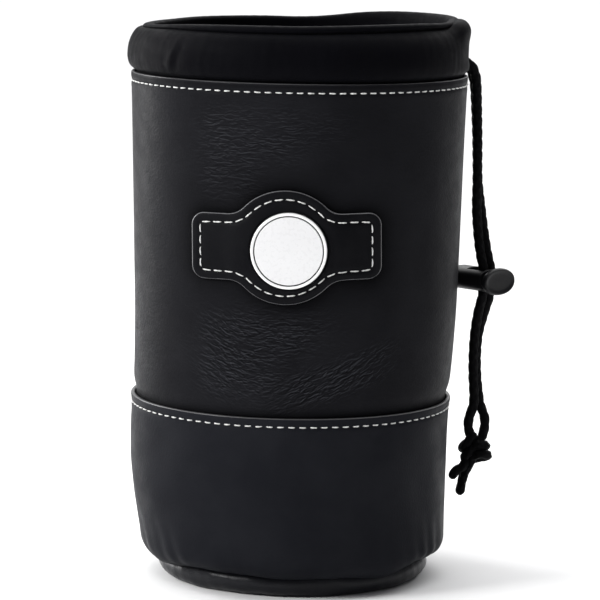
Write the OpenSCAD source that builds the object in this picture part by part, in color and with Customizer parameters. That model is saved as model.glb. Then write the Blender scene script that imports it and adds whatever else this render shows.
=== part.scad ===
// Drawstring pouch in soft black leather with a folded nylon collar.
// +Z is up, the front faces -Y, and the origin is the middle of the face that it stands on.
// Every length is in millimetres.

/* [Leather wall] */
// Outer radius of the leather wall at its top edge
wall_top_r = 54; // [53:0.5:56]
// Outer radius of the leather wall just above the boot band
wall_low_r = 51.3; // [51:0.1:52]
// Height of the leather wall's top edge above the ground
wall_h = 162.8; // [158:0.1:168]
// Thickness of the leather
leather_t = 1.2; // [1:0.1:1.4]
// Thickness of the foam inside the wall
padding_t = 2; // [1.5:0.1:2.2]
// Thickness of the lining cloth
lining_t = 1; // [0.6:0.1:1.2]

/* [Boot band] */
// Outer radius of the boot band at its top edge
boot_r = 51.6; // [51.4:0.1:52.4]
// Height of the boot band's top edge
boot_h = 58.7; // [54:0.1:64]
// Thickness of the boot band's leather
boot_t = 1.1; // [0.9:0.1:1.1]

/* [Base] */
// Radius of the flat leather disc underneath
base_r = 38.4; // [37.5:0.1:38.6]
// Radius of the rolled welt's round section
welt_r = 4.1; // [3.8:0.1:4.1]

/* [Collar and mouth] */
// Height of the collar's rolled lip above the ground
lip_h = 180.3; // [178:0.1:184]
// Depth of the collar's root below the leather edge
collar_root = 5.8; // [4:0.1:8]

/* [Badge and marker] */
// Height of the badge's middle
badge_h = 112; // [104:0.5:120]
// Distance from one end of the badge to the other, measured straight across
badge_w = 58.2; // [54:0.2:62]
// Height of the badge's two tabs
badge_tab_h = 20.6; // [18:0.2:22]
// Radius of the badge's round middle
badge_round_r = 17.4; // [17:0.1:18.5]
// Thickness of the badge's leather
badge_t = 1.9; // [1.5:0.1:2.2]
// Radius of the marker coin
coin_r = 12; // [11.5:0.1:12.5]

/* [Drawcord and cord lock] */
// Diameter of the braided cord
cord_d = 3.2; // [3:0.1:3.3]
// Length of the lock's body, from its closed end to its mouth
lock_l = 15.8; // [15.8:0.1:18]
// How far the button travels
button_travel = 1.7; // [1:0.1:1.7]

/* [Hidden] */

leather_colour = "#26272b";
nylon_colour = "#17181b";
lining_colour = "#303236";
foam_colour = "#8f9296";
thread_colour = "#f1f1ee";
plastic_colour = "#1c1d20";

round_fn = 96;
small_fn = 32;
thread_fn = 16;
gap = 0.1;                      // between two layers that lie on each other
overshoot = 1;                  // how far a cutter runs past what it cuts

// ---- The wall: one outline, and layers at depths below it ----

tuck_h = 13;                    // height where the wall starts to turn in under the pouch
tuck_c = 43.5;                  // radius about which that turn is made
boot_tuck_r = tuck_c + 6;       // the boot's outer radius where the turn starts
boot_tuck_z = 7.7;              // the boot's outer drop over the turn
hem_turn = 83;                  // how far the boot turns in, in degrees
shell_turn = 75;                // how far the wall inside it turns in
pinch_h = 5.3;                  // the wall is drawn in over this height above the boot's edge
under_boot = boot_t + gap;

boot_outline = [[tuck_h, boot_tuck_r], [26, boot_r - 0.9], [36, boot_r - 0.35], [boot_h, boot_r]];
wall_outline = [[tuck_h, boot_tuck_r - under_boot], [26, boot_r - 0.9 - under_boot],
                [36, boot_r - 0.35 - under_boot], [boot_h, boot_r - under_boot],
                [boot_h + pinch_h, wall_low_r], [wall_h, wall_top_r]];

function wall_r(z) = lookup(z, wall_outline);
function heights_between(low, high) =
    concat([low], [for (p = wall_outline) if (p[0] > low && p[0] < high) p[0]], [high]);
function turned_in(depth_r, depth_z, turn) =
    [for (i = [6:-1:1]) [tuck_c + depth_r * cos(turn * i / 6), tuck_h - depth_z * sin(turn * i / 6)]];

// A layer of the wall from depth near to depth far below the outline, between two heights
module wall_layer(near, far, low, high) {
    levels = heights_between(low, high);
    face_out = [for (z = levels) [wall_r(z) - near, z]];
    face_in = [for (i = [len(levels) - 1:-1:0]) [wall_r(levels[i]) - far, levels[i]]];
    rotate_extrude($fn = round_fn) polygon(concat(face_out, face_in));
}

module reversed_polygon_pair(face_out, face_in) {
    polygon(concat(face_out, [for (i = [len(face_in) - 1:-1:0]) face_in[i]]));
}

module body_shell() {
    turn_r = boot_tuck_r - tuck_c - under_boot;
    turn_z = boot_tuck_z - under_boot;
    face_out = concat(turned_in(turn_r, turn_z, shell_turn), [for (p = wall_outline) [p[1], p[0]]]);
    face_in = concat(turned_in(turn_r - leather_t, turn_z - leather_t, shell_turn),
                     [for (p = wall_outline) [p[1] - leather_t, p[0]]]);
    color(leather_colour) rotate_extrude($fn = round_fn) reversed_polygon_pair(face_out, face_in);
}

module boot_band() {
    turn_r = boot_tuck_r - tuck_c;
    face_out = concat(turned_in(turn_r, boot_tuck_z, hem_turn), [for (p = boot_outline) [p[1], p[0]]]);
    face_in = concat(turned_in(turn_r - boot_t, boot_tuck_z - boot_t, hem_turn),
                     [for (p = boot_outline) [p[1] - boot_t, p[0]]]);
    color(leather_colour) rotate_extrude($fn = round_fn) reversed_polygon_pair(face_out, face_in);
}

padding_near = leather_t + gap;
padding_far = padding_near + padding_t;
lining_near = padding_far + gap;
lining_far = lining_near + lining_t;
collar_low = wall_h - collar_root;

module wall_padding() {
    color(foam_colour) wall_layer(padding_near, padding_far, tuck_h, collar_low - gap);
}

module wall_lining() {
    color(lining_colour) wall_layer(lining_near, lining_far, floor_h, wall_h - 0.8);
}

// ---- The base: a leather disc in a rolled welt, a stiff board, foam and lining above it ----

base_t = 1.6;
board_t = 1.8;
board_top = base_t + board_t;
welt_c = base_r + 1.3;          // radius of the middle of the welt's round section
welt_top = 2 * welt_r;
floor_h = 9.9;                  // the inside floor
floor_r = tuck_c + 0.2;

module base_disc() {
    color(leather_colour) cylinder(r = base_r, h = base_t, $fn = round_fn);
}

module base_welt() {
    color(nylon_colour)
    rotate_extrude($fn = round_fn)
    intersection() {
        translate([welt_c, welt_r]) circle(r = welt_r, $fn = small_fn);
        translate([base_r, 0]) square([3 * welt_r, welt_top]);
    }
}

module base_board() {
    color("#6d655a") translate([0, 0, base_t]) cylinder(r = base_r - gap, h = board_t, $fn = round_fn);
}

module base_padding() {
    brim_low = welt_top + gap;
    brim_high = floor_h - lining_t;
    color(foam_colour)
    rotate_extrude($fn = round_fn)
    polygon([[0, board_top], [base_r - gap, board_top], [base_r - gap, brim_low], [floor_r, brim_low],
             [floor_r, brim_high], [0, brim_high]]);
}

module base_lining() {
    color(lining_colour) translate([0, 0, floor_h - lining_t]) cylinder(r = floor_r, h = lining_t, $fn = round_fn);
}

// ---- The collar: nylon that rises inside the leather edge, folds over and hangs down outside ----

channel_r = wall_top_r - 2;     // radius of the drawcord's run round the collar
channel_h = wall_h + 3.7;       // its height
channel_bore = cord_d / 2 + 0.15;
exit_turn = 20.4;               // where both tails leave the collar, in degrees from +X towards +Y
exit_half = cord_d / 2 + 0.05;  // half the distance between the two tails
exit_bore = cord_d / 2 + 0.35;

collar_root_r = wall_r(collar_low) - leather_t - gap;

collar_outline = [[wall_top_r - 3.3, collar_low], [collar_root_r, collar_low],
                  [collar_root_r, wall_h + 0.1], [wall_top_r - 0.5, wall_h + 0.8],
                  [wall_top_r + 0.8, wall_h + 2.6], [wall_top_r + 1.4, wall_h + 5.2],
                  [wall_top_r + 0.9, wall_h + 8.7], [wall_top_r - 1.1, wall_h + 12],
                  [wall_top_r - 3.4, lip_h - 3.4], [wall_top_r - 3.7, lip_h - 1.7], [wall_top_r - 4.4, lip_h - 0.5],
                  [wall_top_r - 5.7, lip_h], [wall_top_r - 7, lip_h - 0.6], [wall_top_r - 7.7, lip_h - 2.3],
                  [wall_top_r - 7.4, wall_h + 11], [wall_top_r - 6.2, wall_h + 5],
                  [wall_top_r - 4.5, wall_h - 0.7], [wall_top_r - 3.3, wall_h - 0.7]];

module collar_cuff() {
    color(nylon_colour)
    difference() {
        rotate_extrude($fn = round_fn) polygon(collar_outline);
        translate([0, 0, channel_h]) torus(channel_r, channel_bore);
        rotate([0, 0, exit_turn]) translate([channel_r, 0, channel_h]) cord_slot();
    }
}

module torus(ring_r, section_r) {
    rotate_extrude($fn = round_fn) translate([ring_r, 0]) circle(r = section_r, $fn = small_fn);
}

// A slot for two cords side by side, along +X
module cord_slot() {
    rotate([0, 90, 0]) {
        for (side = [-1, 1]) translate([0, side * exit_half, 0]) cylinder(r = exit_bore, h = 3 * cord_d, $fn = small_fn);
        translate([-exit_bore, -exit_half, 0]) cube([2 * exit_bore, 2 * exit_half, 3 * cord_d]);
    }
}

// ---- The drawcord: a ring inside the collar, and two tails that hang from one exit ----

ring_open = 6;                  // half the ring's opening behind the exit, in degrees

module drawcord_ring() {
    color(nylon_colour)
    translate([0, 0, channel_h])
    rotate([0, 0, exit_turn + ring_open])
    rotate_extrude(angle = 360 - 2 * ring_open, $fn = round_fn)
    translate([channel_r, 0]) circle(r = cord_d / 2, $fn = small_fn);
}

// The two tails' middle lines, from the exit down to the knot
front_route = [[51.0, 16.9, 166.5], [53.3, 17.8, 166.0], [55.4, 18.9, 164.2], [56.5, 20.2, 161.0], [56.9, 21.4, 157.0],
               [57.2, 22.8, 150.0], [57.5, 23.2, 142.0], [57.7, 23.3, 134.0], [57.8, 23.3, 126.0],
               [57.8, 23.5, 118.0], [58.4, 23.2, 110.0], [59.4, 22.2, 103.0], [60.5, 20.9, 98.0], [60.6, 20.7, 93.5],
               [60.4, 20.8, 89.0], [59.1, 22.2, 83.0], [58.2, 23.2, 76.0], [57.9, 23.3, 69.0],
               [58.0, 23.3, 62.0], [58.2, 23.5, 56.0], [57.8, 23.8, 52.0], [57.0, 24.1, 48.0],
               [56.8, 24.4, 44.5], [57.8, 24.8, 41.0]];
rear_route = [[50.0, 20.0, 166.5], [52.2, 20.9, 166.0], [54.3, 22.0, 164.2], [55.6, 23.4, 161.0], [56.3, 24.6, 157.0],
              [56.8, 26.1, 150.0], [57.3, 26.5, 142.0], [57.6, 26.6, 134.0], [58.0, 26.6, 126.0],
              [59.1, 26.5, 118.0], [60.3, 26.0, 110.0], [61.6, 24.7, 103.0], [62.8, 23.3, 98.0], [62.9, 23.1, 93.5],
              [62.7, 23.2, 89.0], [61.1, 24.9, 83.0], [59.4, 26.3, 76.0], [58.9, 26.6, 69.0],
              [59.1, 26.6, 62.0], [60.0, 26.5, 56.0], [60.9, 26.2, 52.0], [62.0, 25.8, 48.0],
              [62.2, 25.5, 44.5], [61.4, 25.3, 41.0]];

tube_sides = 8;
function unit(v) = v / norm(v);
function along(route, i) = unit(route[min(i + 1, len(route) - 1)] - route[max(i - 1, 0)]);
// The corners of the ring about one point of a route; the second axis stays in the outward plane
function ring_corners(centre, direction, r) =
    let (across = unit(cross(direction, [sin(exit_turn), -cos(exit_turn), 0])),
         beside = cross(across, direction))
    [for (k = [0:tube_sides - 1])
        centre + r * (cos(360 * k / tube_sides) * across + sin(360 * k / tube_sides) * beside)];

module tube(route, r) {
    last = (len(route) - 1) * tube_sides;
    corners = [for (i = [0:len(route) - 1]) each ring_corners(route[i], along(route, i), r)];
    walls = [for (i = [0:len(route) - 2], k = [0:tube_sides - 1])
        let (a = i * tube_sides + k, b = i * tube_sides + (k + 1) % tube_sides)
        [a, b, b + tube_sides, a + tube_sides]];
    start_cap = [for (k = [tube_sides - 1:-1:0]) k];
    end_cap = [for (k = [0:tube_sides - 1]) last + k];
    polyhedron(corners, concat(walls, [start_cap, end_cap]), convexity = 8);
}

module drawcord_tail_front() {
    color(nylon_colour) tube(front_route, cord_d / 2);
}

module drawcord_tail_rear() {
    color(nylon_colour) tube(rear_route, cord_d / 2);
}

knot_at = [59.2, 25.2, 35.5];
knot_half = [5.6, 4.2, 4.4];
short_end = [[56, 24.6, 34], [52.2, 23.6, 29.6], [50.4, 23.4, 25.6]];
long_end = [[58, 25, 33], [55, 25.2, 28], [53.4, 25.4, 24.4], [52.9, 25.4, 21.6]];

module cord_knot() {
    color(nylon_colour) {
        translate(knot_at) scale(knot_half) sphere(r = 1, $fn = small_fn);
        tube(short_end, cord_d / 2);
        tube(long_end, cord_d / 2);
    }
}

// ---- The cord lock: an oval barrel, a sprung button with a slotted stem, both across the cords ----

lock_at = [61.75, 21.9, 93.5];  // the middle of the two cords inside the lock
lock_turn = -45;                // the button's direction, in degrees from +X
lock_front = 2.5;               // the barrel's mouth, in front of the cords
barrel_w = 11.6;
barrel_h = 7.5;
barrel_wall = 0.8;
head_w = 12.6;
head_h = 8.3;
head_t = 2;
stem_play = 0.3;                // round the stem inside the barrel
cord_play = 0.15;               // round the two cords in their slots
slot_w = 2 * (exit_half + cord_d / 2 + cord_play);
clamp_at = -cord_d / 2 - cord_play;
slot_back = 6.1;                // the barrel's slot, behind the cords
bar_t = 1.5;                    // the stem's bar that bears on the cords
barrel_back = lock_front - lock_l;
head_back = lock_front + button_travel + 0.1;
spring_wire = 0.35;
spring_r = 1.9;
spring_turns = 5;
spring_steps = 10;               // bends of the wire in one turn

// An oval bar along +X, from low to high
module oval_bar(w, h, low, high) {
    translate([low, 0, 0]) rotate([90, 0, 90]) linear_extrude(high - low) oval(w, h);
}

module oval(w, h) {
    for (side = [-1, 1]) translate([side * (w - h) / 2, 0]) circle(d = h, $fn = small_fn);
    square([w - h, h], center = true);
}

module at_lock() {
    translate(lock_at) rotate([0, 0, lock_turn]) children();
}

module lock_barrel() {
    color(plastic_colour)
    at_lock()
    difference() {
        oval_bar(barrel_w, barrel_h, barrel_back, lock_front);
        oval_bar(barrel_w - 2 * barrel_wall, barrel_h - 2 * barrel_wall, barrel_back + barrel_wall,
                 lock_front + overshoot);
        translate([-slot_back, -slot_w / 2, -barrel_h])
            cube([slot_back - clamp_at, slot_w, 2 * barrel_h]);
    }
}

module lock_button() {
    stem_w = barrel_w - 2 * (barrel_wall + stem_play);
    stem_h = barrel_h - 2 * (barrel_wall + stem_play);
    hole_end = lock_front + button_travel;
    color(plastic_colour)
    at_lock()
    difference() {
        union() {
            oval_bar(head_w, head_h, head_back, head_back + head_t);
            oval_bar(stem_w, stem_h, clamp_at - bar_t, head_back);
        }
        translate([clamp_at, -slot_w / 2, -barrel_h]) cube([hole_end - clamp_at, slot_w, 2 * barrel_h]);
    }
}

module lock_spring() {
    back = barrel_back + barrel_wall + spring_wire + 0.05;
    front = clamp_at - bar_t - spring_wire - 0.05;
    steps = spring_turns * spring_steps;
    coil = [for (i = [0:steps]) let (t = 360 * i / spring_steps)
        [back + (front - back) * i / steps, spring_r * cos(t), spring_r * sin(t)]];
    color("#b9bcc0") at_lock() coil_wire(coil, spring_wire);
}

// A thin wire along a list of points that wind about the X axis
module coil_wire(coil, r) {
    sides = 6;
    last = (len(coil) - 1) * sides;
    corners = [for (i = [0:len(coil) - 1]) each
        let (out = unit([0, coil[i][1], coil[i][2]]), up = unit(cross(along(coil, i), out)))
        [for (k = [0:sides - 1]) coil[i] + r * (cos(60 * k) * out + sin(60 * k) * up)]];
    walls = [for (i = [0:len(coil) - 2], k = [0:sides - 1])
        let (a = i * sides + k, b = i * sides + (k + 1) % sides)
        each [[a, a + sides, b], [b, a + sides, b + sides]]];
    start_cap = [for (k = [0:sides - 1]) k];
    end_cap = [for (k = [sides - 1:-1:0]) last + k];
    polyhedron(corners, concat(walls, [start_cap, end_cap]), convexity = 12);
}

// ---- The badge: a leather patch wrapped on the wall, with a magnetic seat for a round marker ----

patch_gap = 0.05;
fillet_r = 7;                   // where the tabs run into the round middle
corner_r = 4;
marker_x = 0.5;                 // the marker sits a little off the badge's middle
marker_h = badge_h - 0.8;
seat_r = coin_r + 1;
seat_recess = 0.9;
seat_t = 2.3;
seat_y = wall_r(marker_h + seat_r) + gap;  // its back clears the wall at its own top edge
magnet_r = 5;
magnet_t = 1;
coin_t = 1.8;
coin_rim = 0.9;
enamel_groove = 0.25;
enamel_t = 0.6;

fillet_x = sqrt(pow(badge_round_r + fillet_r, 2) - pow(badge_tab_h / 2 + fillet_r, 2));
fillet_c = [fillet_x, badge_tab_h / 2 + fillet_r];

// A line at a depth inside the badge's edge, over the quarter from its top to its right end
function badge_quarter(inset) =
    let (meet = atan2(fillet_c[1], fillet_c[0]),
         half_h = badge_tab_h / 2 - inset,
         half_w = badge_w / 2 - inset,
         soft = corner_r - inset)
    concat([for (i = [0:12]) let (t = 90 - (90 - meet) * i / 12) (badge_round_r - inset) * [cos(t), sin(t)]],
           [for (i = [1:8]) let (t = 180 + meet + (90 - meet) * i / 8) fillet_c + (fillet_r + inset) * [cos(t), sin(t)]],
           [for (i = [0:6]) let (t = 90 - 90 * i / 6) [half_w - soft, half_h - soft] + soft * [cos(t), sin(t)]]);
function turned(points, sx, sz) = [for (p = points) [sx * p[0], sz * p[1]]];
function backwards(points) = [for (i = [len(points) - 1:-1:0]) points[i]];
// The same list without its first point, which the quarter before it already holds
function rest_of(points) = [for (i = [1:len(points) - 1]) points[i]];

module badge_outline() {
    quarter = badge_quarter(0);
    polygon(concat(quarter, backwards(turned(quarter, 1, -1)), rest_of(turned(quarter, -1, -1)),
                   backwards(rest_of(turned(quarter, -1, 1)))));
}

module along_front(reach) {
    rotate([90, 0, 0]) linear_extrude(reach) children();
}

module badge_patch() {
    low = badge_h - badge_round_r - overshoot;
    high = badge_h + badge_round_r + overshoot;
    color(leather_colour)
    difference() {
        intersection() {
            translate([0, 0, badge_h]) along_front(2 * wall_top_r) badge_outline();
            translate([0, 0, low])
                cylinder(r1 = wall_r(low) + badge_t, r2 = wall_r(high) + badge_t, h = high - low, $fn = round_fn);
        }
        translate([0, 0, low])
            cylinder(r1 = wall_r(low) + patch_gap, r2 = wall_r(high) + patch_gap, h = high - low, $fn = round_fn);
        translate([marker_x, 0, marker_h]) along_front(2 * wall_top_r) circle(r = seat_r + gap, $fn = round_fn);
    }
}

// A round piece about the marker's axis, from one distance in front of the axis to another
module marker_disc(r, from, to) {
    translate([marker_x, -from, marker_h]) rotate([90, 0, 0]) cylinder(r = r, h = to - from, $fn = round_fn);
}

seat_front = seat_y + seat_t;
coin_back = seat_front - seat_recess + 0.02;
coin_front = coin_back + coin_t;

module badge_seat() {
    color(plastic_colour)
    difference() {
        marker_disc(seat_r, seat_y, seat_front);
        marker_disc(coin_r + 0.3, seat_front - seat_recess, seat_front + overshoot);
        marker_disc(magnet_r + gap, seat_y - overshoot, seat_y + magnet_t);
    }
}

module badge_magnet() {
    color("#7d8085") marker_disc(magnet_r, seat_y, seat_y + magnet_t);
}

module marker_coin() {
    color("#d8dadc")
    difference() {
        marker_disc(coin_r, coin_back, coin_front);
        marker_disc(coin_r - coin_rim, coin_front - enamel_t - gap, coin_front + overshoot);
    }
}

module marker_enamel() {
    face_r = coin_r - coin_rim - enamel_groove;
    color("#f4f4f4") marker_disc(face_r, coin_front - enamel_t - gap, coin_front - gap);
}

// ---- The stitching: separate short stitches, half sunk in the leather ----

thread_r = 0.32;
thread_proud = 0.1;
stitch_l = 2;
badge_stitch_l = 2.5;
top_stitches = 102;
top_stitch_h = wall_h - 2.8;
boot_stitches = 94;
boot_stitch_h = boot_h - 2.7;
seam_pitch = 3.5;
badge_inset = 2.7;

// One stitch, lying along +X, with its middle at the origin
module stitch(length) {
    rotate([0, 90, 0]) cylinder(r = thread_r, h = length, center = true, $fn = thread_fn);
}

module stitch_ring(r, z, count) {
    for (i = [0:count - 1])
        rotate([0, 0, 360 * (i + 0.5) / count]) translate([r + thread_proud, 0, z]) rotate([0, 0, 90]) stitch(stitch_l);
}

module top_stitching() {
    color(thread_colour) stitch_ring(wall_r(top_stitch_h), top_stitch_h, top_stitches);
}

module boot_stitching() {
    color(thread_colour) stitch_ring(lookup(boot_stitch_h, boot_outline), boot_stitch_h, boot_stitches);
}

// The badge's seam line is followed over a quarter of the badge, then mirrored
function run_to(line, i) = i == 0 ? 0 : run_to(line, i - 1) + norm(line[i] - line[i - 1]);
function point_at(line, runs, s) = [lookup(s, [for (i = [0:len(line) - 1]) [runs[i], line[i][0]]]),
                                    lookup(s, [for (i = [0:len(line) - 1]) [runs[i], line[i][1]]])];

// One stitch of the badge between two points of its seam line, on the curved leather
module badge_stitch(a, b) {
    face = function (p) let (r = wall_r(badge_h + p[1]) + badge_t + thread_proud)
        [p[0], -sqrt(r * r - p[0] * p[0]), badge_h + p[1]];
    start = face(a);
    way = face(b) - start;
    translate(start + way / 2)
    rotate([0, atan2(norm([way[0], way[1]]), way[2]), atan2(way[1], way[0])])
    cylinder(r = thread_r, h = norm(way), center = true, $fn = thread_fn);
}

module badge_stitching() {
    line = concat(badge_quarter(badge_inset), [[badge_w / 2 - badge_inset, 0]]);
    runs = [for (i = [0:len(line) - 1]) run_to(line, i)];
    whole = runs[len(runs) - 1];
    count = round(whole / seam_pitch);
    pitch = whole / count;
    color(thread_colour)
    for (sx = [-1, 1], sz = [-1, 1], i = [0:count - 1]) {
        a = point_at(line, runs, pitch * (i + 0.5) - badge_stitch_l / 2);
        b = point_at(line, runs, pitch * (i + 0.5) + badge_stitch_l / 2);
        badge_stitch([sx * a[0], sz * a[1]], [sx * b[0], sz * b[1]]);
    }
}

module back_seam_stitching() {
    low = boot_h + pinch_h + 2;
    count = floor((top_stitch_h - 3 - low) / seam_pitch);
    color(thread_colour)
    for (i = [0:count - 1]) {
        z = low + seam_pitch * (i + 0.5);
        translate([0, wall_r(z) + thread_proud, z]) rotate([0, 90, 0]) stitch(stitch_l);
    }
}

body_shell();
wall_padding();
wall_lining();
boot_band();
base_disc();
base_welt();
base_board();
base_padding();
base_lining();
collar_cuff();
drawcord_ring();
drawcord_tail_front();
drawcord_tail_rear();
cord_knot();
lock_barrel();
lock_button();
lock_spring();
badge_patch();
badge_seat();
badge_magnet();
marker_coin();
marker_enamel();
top_stitching();
boot_stitching();
badge_stitching();
back_seam_stitching();
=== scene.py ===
"""The looks of a drawstring pouch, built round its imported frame. Shapes are worked out in millimetres."""
import math

import bmesh
import bpy
import numpy as np
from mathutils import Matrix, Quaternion, Vector


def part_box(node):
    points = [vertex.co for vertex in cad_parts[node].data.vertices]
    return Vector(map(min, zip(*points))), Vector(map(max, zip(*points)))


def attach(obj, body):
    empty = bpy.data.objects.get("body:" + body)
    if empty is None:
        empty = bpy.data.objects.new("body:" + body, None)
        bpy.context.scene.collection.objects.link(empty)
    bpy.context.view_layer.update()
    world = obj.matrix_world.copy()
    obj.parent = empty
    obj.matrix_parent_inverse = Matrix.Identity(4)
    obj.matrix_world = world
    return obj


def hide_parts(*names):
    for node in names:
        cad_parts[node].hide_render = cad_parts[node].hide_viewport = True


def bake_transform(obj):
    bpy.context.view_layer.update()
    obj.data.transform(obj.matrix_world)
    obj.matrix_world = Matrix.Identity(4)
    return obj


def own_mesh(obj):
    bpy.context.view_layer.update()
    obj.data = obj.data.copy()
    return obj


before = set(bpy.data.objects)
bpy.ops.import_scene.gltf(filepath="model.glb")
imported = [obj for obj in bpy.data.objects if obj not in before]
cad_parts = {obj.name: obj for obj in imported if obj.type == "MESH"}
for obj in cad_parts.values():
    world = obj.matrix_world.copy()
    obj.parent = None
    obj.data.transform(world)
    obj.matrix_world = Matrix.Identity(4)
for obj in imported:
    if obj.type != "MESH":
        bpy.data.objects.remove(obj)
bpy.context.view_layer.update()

MM = 0.001                                   # one millimetre, in metres
TAU = 2 * math.pi


def cad_box(node):
    """A CAD node's lowest and highest corners, in millimetres."""
    return [np.array(corner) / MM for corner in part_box(node)]


# ---- Sizes, worked out from the frame ----

WALL_TOP_R, _, WALL_TOP = cad_box("body_shell")[1]
WALL_LOW_R = WALL_TOP_R - 2.7                # just above the boot band
BOOT_R, _, BOOT_TOP = cad_box("boot_band")[1]
COLLAR_ROOT, LIP = (corner[2] for corner in cad_box("collar_cuff"))
FLOOR = cad_box("base_lining")[1][2]
LEATHER = 1.2
BOOT_LEATHER = 1.1
LAYER_GAP = 0.1
UNDER_BOOT = BOOT_LEATHER + LAYER_GAP
FOAM = 2
LINING = 1
TUCK_TOP = 13                                # the wall turns in under the pouch below this
TUCK_R = 43.5
TOP_SEAM = WALL_TOP - 2.8
BOOT_SEAM = BOOT_TOP - 2.7
STITCH_PITCH = 3.5
STITCH_LENGTH = 2.1
BADGE_LOW, BADGE_HIGH = cad_box("badge_patch")
BADGE_X = -0.55                              # the patch is sewn on a little to the left
BADGE_Z = (BADGE_LOW[2] + BADGE_HIGH[2]) / 2 + 0.4
BADGE_TURN = math.radians(1.2)               # and a little turned
BADGE_T = 1.9
COIN_LOW, COIN_HIGH = cad_box("marker_coin")
COIN_X = (COIN_LOW[0] + COIN_HIGH[0]) / 2 + 0.2
COIN_Z = (COIN_LOW[2] + COIN_HIGH[2]) / 2 + 0.4
COIN_R = (COIN_HIGH[0] - COIN_LOW[0]) / 2 - 0.2
COIN_BACK, COIN_FRONT = -COIN_HIGH[1], -COIN_LOW[1]
SEAT_FRONT, SEAT_BACK = (-corner[1] for corner in cad_box("badge_seat"))
CORD = 3.2


# ---- The camera ----

def add_camera():
    """The photograph's view; lengths here are in metres."""
    data = bpy.data.cameras.new("camera")
    data.lens = 198
    data.sensor_width = 36
    data.clip_start = 0.01
    camera = bpy.data.objects.new("camera", data)
    bpy.context.scene.collection.objects.link(camera)
    distance, height = 1.06, 0.234
    azimuth, aside = math.radians(3.2), math.radians(-0.075)
    pitch, roll = math.radians(90 - 7.79), math.radians(1.0)
    camera.location = (distance * math.sin(azimuth), -distance * math.cos(azimuth), height)
    camera.rotation_mode = "QUATERNION"
    camera.rotation_quaternion = (Quaternion((0, 0, 1), azimuth + aside) @ Quaternion((1, 0, 0), pitch)
                                  @ Quaternion((0, 0, 1), roll))
    bpy.context.scene.camera = camera


add_camera()


# ---- Meshes from grids of points ----

def add_piece(name, points, faces, materials=(), uv=None, face_material=None, smooth=True):
    """A mesh object from points in millimetres; uv holds one pair per face corner."""
    mesh = bpy.data.meshes.new(name)
    mesh.from_pydata((points * MM).tolist(), [], faces)
    if uv is not None:
        layer = mesh.uv_layers.new(name="along")
        layer.data.foreach_set("uv", (uv * MM).astype(np.float32).ravel())
    mesh.polygons.foreach_set("use_smooth", [smooth] * len(faces))
    for material in materials:
        mesh.materials.append(material)
    if face_material is not None:
        mesh.polygons.foreach_set("material_index", np.asarray(face_material, np.int32))
    mesh.update()
    piece = bpy.data.objects.new(name, mesh)
    bpy.context.scene.collection.objects.link(piece)
    return piece


def signed_volume(points, quads):
    a, b, c, d = (points[quads[:, i]] for i in range(4))
    return (np.einsum("ij,ij->i", a, np.cross(b, c)) + np.einsum("ij,ij->i", a, np.cross(c, d))).sum() / 6


def grid_piece(name, grid, materials, uv=None, wrap=True, caps=False, face_material=None):
    """A surface through a grid of points (rows, columns, 3). Its columns go all the way round. Its rows do
    too when they wrap, and flat caps can close their ends when they don't."""
    rows, cols = grid.shape[:2]
    i, j = np.mgrid[:rows - 1 + wrap, :cols]
    corners = [(i, j), (i + 1, j), (i + 1, j + 1), (i, j + 1)]
    quads = np.stack([(a % rows * cols + b % cols).ravel() for a, b in corners], 1)
    points = grid.reshape(-1, 3)
    way = -1 if signed_volume(points, quads) < 0 else 1
    faces = quads[:, ::way].tolist()
    if uv is not None:
        uv = np.stack([uv[a, b].reshape(-1, 2) for a, b in corners], 1)[:, ::way].reshape(-1, 2)
    if caps:
        first = np.arange(cols)
        last = (rows - 1) * cols + first
        faces += [first[::way].tolist(), last[::-way].tolist()]
        if uv is not None:
            uv = np.concatenate([uv, np.zeros((2 * cols, 2))])
        if face_material is not None:
            face_material = np.concatenate([face_material, [0, 0]])
    return add_piece(name, points, faces, materials, uv, face_material)


def fit(piece, slot, body, *nodes):
    """Says which body a piece rides on and which CAD nodes it stands for, and hides those nodes. The slot is
    not used.
    """
    if nodes:
        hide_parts(*nodes)
    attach(piece, body)


def distances(line):
    """The distance along a line to each of its points."""
    return np.concatenate([[0], np.cumsum(np.linalg.norm(np.diff(line, axis=0), axis=1))])


def line_length(line):
    return float(distances(line)[-1])


def even_points(line, count, endpoint=True):
    """Evenly spaced points along a line."""
    run = distances(line)
    at = np.linspace(0, run[-1], count, endpoint=endpoint)
    return np.stack([np.interp(at, run, line[:, k]) for k in range(line.shape[1])], 1)


def smooth_line(points, count):
    """A smooth curve through the points, with evenly spaced samples."""
    p = np.asarray(points, float)
    p = np.vstack([2 * p[0] - p[1], p, 2 * p[-1] - p[-2]])
    t = np.linspace(0, 1, 24, endpoint=False)[:, None]
    fine = [0.5 * (2 * b + (c - a) * t + (2 * a - 5 * b + 4 * c - d) * t ** 2
                   + (3 * b - a - 3 * c + d) * t ** 3) for a, b, c, d in zip(p, p[1:], p[2:], p[3:])]
    return even_points(np.vstack([*fine, p[-2]]), count)


def frames_along(line):
    """Directions along a line, and two axes across it that don't twist."""
    ahead = np.gradient(line, axis=0)
    ahead /= np.linalg.norm(ahead, axis=1)[:, None]
    across = np.zeros_like(ahead)
    v = np.array([1.0, 0, 0])
    for k, t in enumerate(ahead):
        v = v - t * (v @ t)
        v /= np.linalg.norm(v)
        across[k] = v
    return ahead, across, np.cross(ahead, across)


def full_turn(sides):
    return TAU * np.arange(sides) / sides


def rings_along(line, across, up, turn, r):
    """Rings of points round a line."""
    return line[:, None] + r * (np.cos(turn)[None, :, None] * across[:, None]
                                + np.sin(turn)[None, :, None] * up[:, None])


def flat_grid(girth, sides, run):
    """A strand's or round piece's flat places: round it and along it."""
    return np.stack(np.broadcast_arrays(np.linspace(0, girth, sides + 1)[None, :], run[:, None]), -1)


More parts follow.
